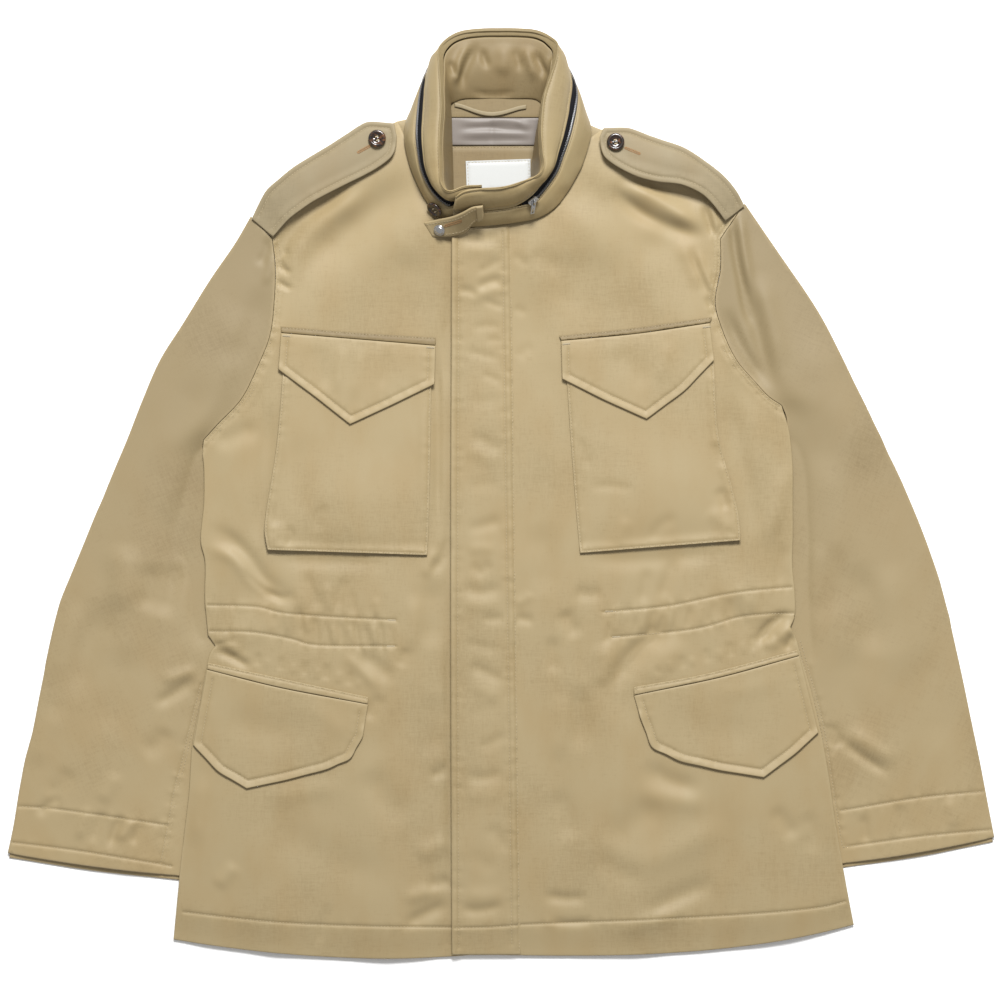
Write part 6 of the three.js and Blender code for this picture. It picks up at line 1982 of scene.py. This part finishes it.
# Flat sizes as cut: width, length, and the share of that rectangle that is cloth
CUTS = {
    "front_right": (0.325, 0.81, 0.81), "front_left": (0.38, 0.8, 0.78), "back": (0.64, 0.83, 0.79),
    "placket": (0.068, 0.7, 0.93),
    "sleeve_right_top": (0.165, 0.64, 0.72), "sleeve_left_top": (0.165, 0.64, 0.71),
    "sleeve_right_under": (0.165, 0.64, 0.7), "sleeve_left_under": (0.165, 0.64, 0.7),
    "chest_pocket_right": (0.162, 0.202, 0.9), "chest_pocket_left": (0.168, 0.202, 0.84),
    "chest_flap_right": (0.15, 0.088, 0.68), "chest_flap_left": (0.148, 0.09, 0.67),
    "chest_strip_right": (0.147, 0.01, 0.66), "chest_strip_left": (0.145, 0.01, 0.56),
    "lower_welt_right": (0.157, 0.01, 0.78), "lower_welt_left": (0.162, 0.01, 0.63),
    "lower_flap_right": (0.17, 0.112, 0.69), "lower_flap_left": (0.178, 0.112, 0.69),
    "epaulette_right": (0.17, 0.045, 0.8), "epaulette_left": (0.165, 0.042, 0.76),
    "neck_strip": (0.125, 0.0255, 0.95), "neck_lining": (0.126, 0.026, 1.0),
    "yoke_facing": (0.126, 0.069, 0.98),
    "hanger_loop": (0.07, 0.01, 0.45), "neck_label": (0.062, 0.032, 0.95),
}
RESTS = {
    "back": ["floor"], "placket": ["front_left_cloth", "front_right_cloth"],
    "front_right": ["back_cloth", "sleeve_right_top_cloth"],
    "front_left": ["back_cloth", "sleeve_left_top_cloth"],
    "sleeve_right_top": ["sleeve_right_under_cloth"], "sleeve_left_top": ["sleeve_left_under_cloth"],
    "sleeve_right_under": ["floor"], "sleeve_left_under": ["floor"],
    "neck_strip": ["back_cloth"], "neck_lining": ["back_cloth"], "yoke_facing": ["back_cloth"],
    "hanger_loop": ["neck_strip_cloth"], "neck_label": ["yoke_facing_cloth"],
}
LOOKS = {"neck_lining": (LINING, "satin_lining"), "neck_label": (LABEL, "label")}
for name in ("epaulette_right", "epaulette_left", "hanger_loop"):
    LOOKS[name] = (TAN_STRAP, "cloth")
# The neck strip, yoke facing and chest strips take the darker cloth of painted shade.
for name in ("neck_strip", "yoke_facing", "chest_strip_right", "chest_strip_left"):
    LOOKS[name] = (TAN_PAINTED_SHADE, "cloth")
for name in ("sleeve_right_top", "sleeve_left_top", "sleeve_right_under", "sleeve_left_under"):
    LOOKS[name] = (TAN_SLEEVE, "cloth")



def stitch_group(name):
    """The stitches that a cloth's rows belong to."""
    if "sleeve" in name:
        return "stitches_sleeves"
    return "stitches_body" if name in BODY else "stitches_trim"


for name, cloth in CLOTHS.items():
    width, length, share = CUTS[name]
    side = "left" if name.endswith("left") else "right"
    look, slot = LOOKS.get(name, (TAN, "cloth"))
    rests = RESTS.get(name, [f"front_{side}_cloth"])
    cloth.build(look, (width, length), rests, width * length * share, slot)
    sew(cloth, stitch_group(name))

# Collar, zip and tab
COLLAR_TABLE = collar_columns()
collar_wall(
    "collar_lower_cloth", 0, 1.965, TAN_COLLAR, ["collar_lower"], (0.52, 0.036, 0.0146),
    rows=(-2.0 * MM,), creases=STAND_CREASES)
collar_wall(
    "collar_upper_cloth", 3.035, 5.85, TAN_COLLAR, ["collar_upper"], (0.5, 0.038, 0.0165),
    rows=(2.0 * MM, -2.0 * MM), creases=COLLAR_CREASES)
# The collar's inner side takes the darker cloth of painted shade.
collar_wall(
    "collar_inner_cloth", 5.97, 8, TAN_PAINTED_SHADE, ["collar_inner"], (0.46, 0.05, 0.0182),
    creases=INNER_CREASES)
collar_wall(
    "zip_tape", *ZIP_SECTION, TAPE, ["zip_band"], (0.49, 0.0102, 0.0034), spacing=1.2 * MM, slot="zip_tape",
    stations=np.linspace(ZIP_FIRST - 0.6, ZIP_LAST + 0.6, 260), thickness=0.5 * MM, raise_by=-TAPE_DEPTH)
zip_chain()
TAB_ROWS = np.concatenate([[0, 0.03, 0.08], np.linspace(0.2, 4.8, 40), [4.92, 4.97, 5]])
TAB_ACROSS = np.concatenate([[0, 0.03, 0.08], np.linspace(0.16, 0.84, 8), [0.92, 0.97, 1]])
tab_points, tab_normals = tab_strip(
    "throat_tab_strap", TAB_ROWS, TAB_ACROSS, 0, TAB_CLOTH, "throat_tab")
KEEPER_ROWS = np.concatenate([[4.35, 4.38, 4.42], np.linspace(4.5, 4.8, 3), [4.88, 4.92, 4.95]])
KEEPER_ACROSS = np.concatenate([[-0.04, -0.01, 0.03], np.linspace(0.12, 0.88, 7), [0.97, 1.01, 1.04]])
tab_strip(
    "tab_keeper_loop", KEEPER_ROWS, KEEPER_ACROSS, 2.0 * MM, TRIM_CLOTH, "tab_keeper")

for name, turn in [("epaulette_button_right", 0.3), ("epaulette_button_left", 0.2), ("collar_button", 0.4)]:
    button(name + "_horn", name, turn, HORN)
dome_button("tab_button_dome", "tab_button", METAL)
rounded_copy("zip_slider_metal", "zip_slider", 0.25 * MM, METAL, "jacket")
rounded_copy("zip_pull_metal", "zip_pull", 0.15 * MM, METAL, "zip_pull")

BUTTONHOLES = [
    ("epaulette_right_cloth", (370, 148), (359, 154)),
    ("epaulette_left_cloth", (625, 150), (638.5, 155.6)),
    ("throat_tab_strap", (446, 227.6), (461, 223.6)),
]
for name, start, end in BUTTONHOLES:
    buttonhole("buttonholes", on_piece(name), start, end)
for column in (0.16, 0.84):
    column = int(np.argmin(np.abs(TAB_ACROSS - column)))
    stitch_line("stitches_collar", tab_points[2:-4, column], tab_normals[2:-4, column])
BAR_TACKS = [
    ("chest_flap_right", (287, 336.5), -5), ("chest_flap_right", (430.5, 348), -5),
    ("chest_flap_left", (566, 344.5), 6), ("chest_flap_left", (706, 327.5), 7),
    ("front_right", (392, 620), -3), ("front_right", (391, 646), -1),
    ("front_left", (609, 611), 2), ("front_left", (616, 636.6), 2),
]
for name, place, angle in BAR_TACKS:
    bar_tack("bar_tacks", CLOTHS[name], place, angle)

for group in ("stitches_body", "stitches_trim", "stitches_sleeves", "stitches_collar"):
    stitch_mesh(group, THREAD)
stitch_mesh("buttonholes", HOLE_THREAD)
stitch_mesh("bar_tacks", TACK_THREAD)
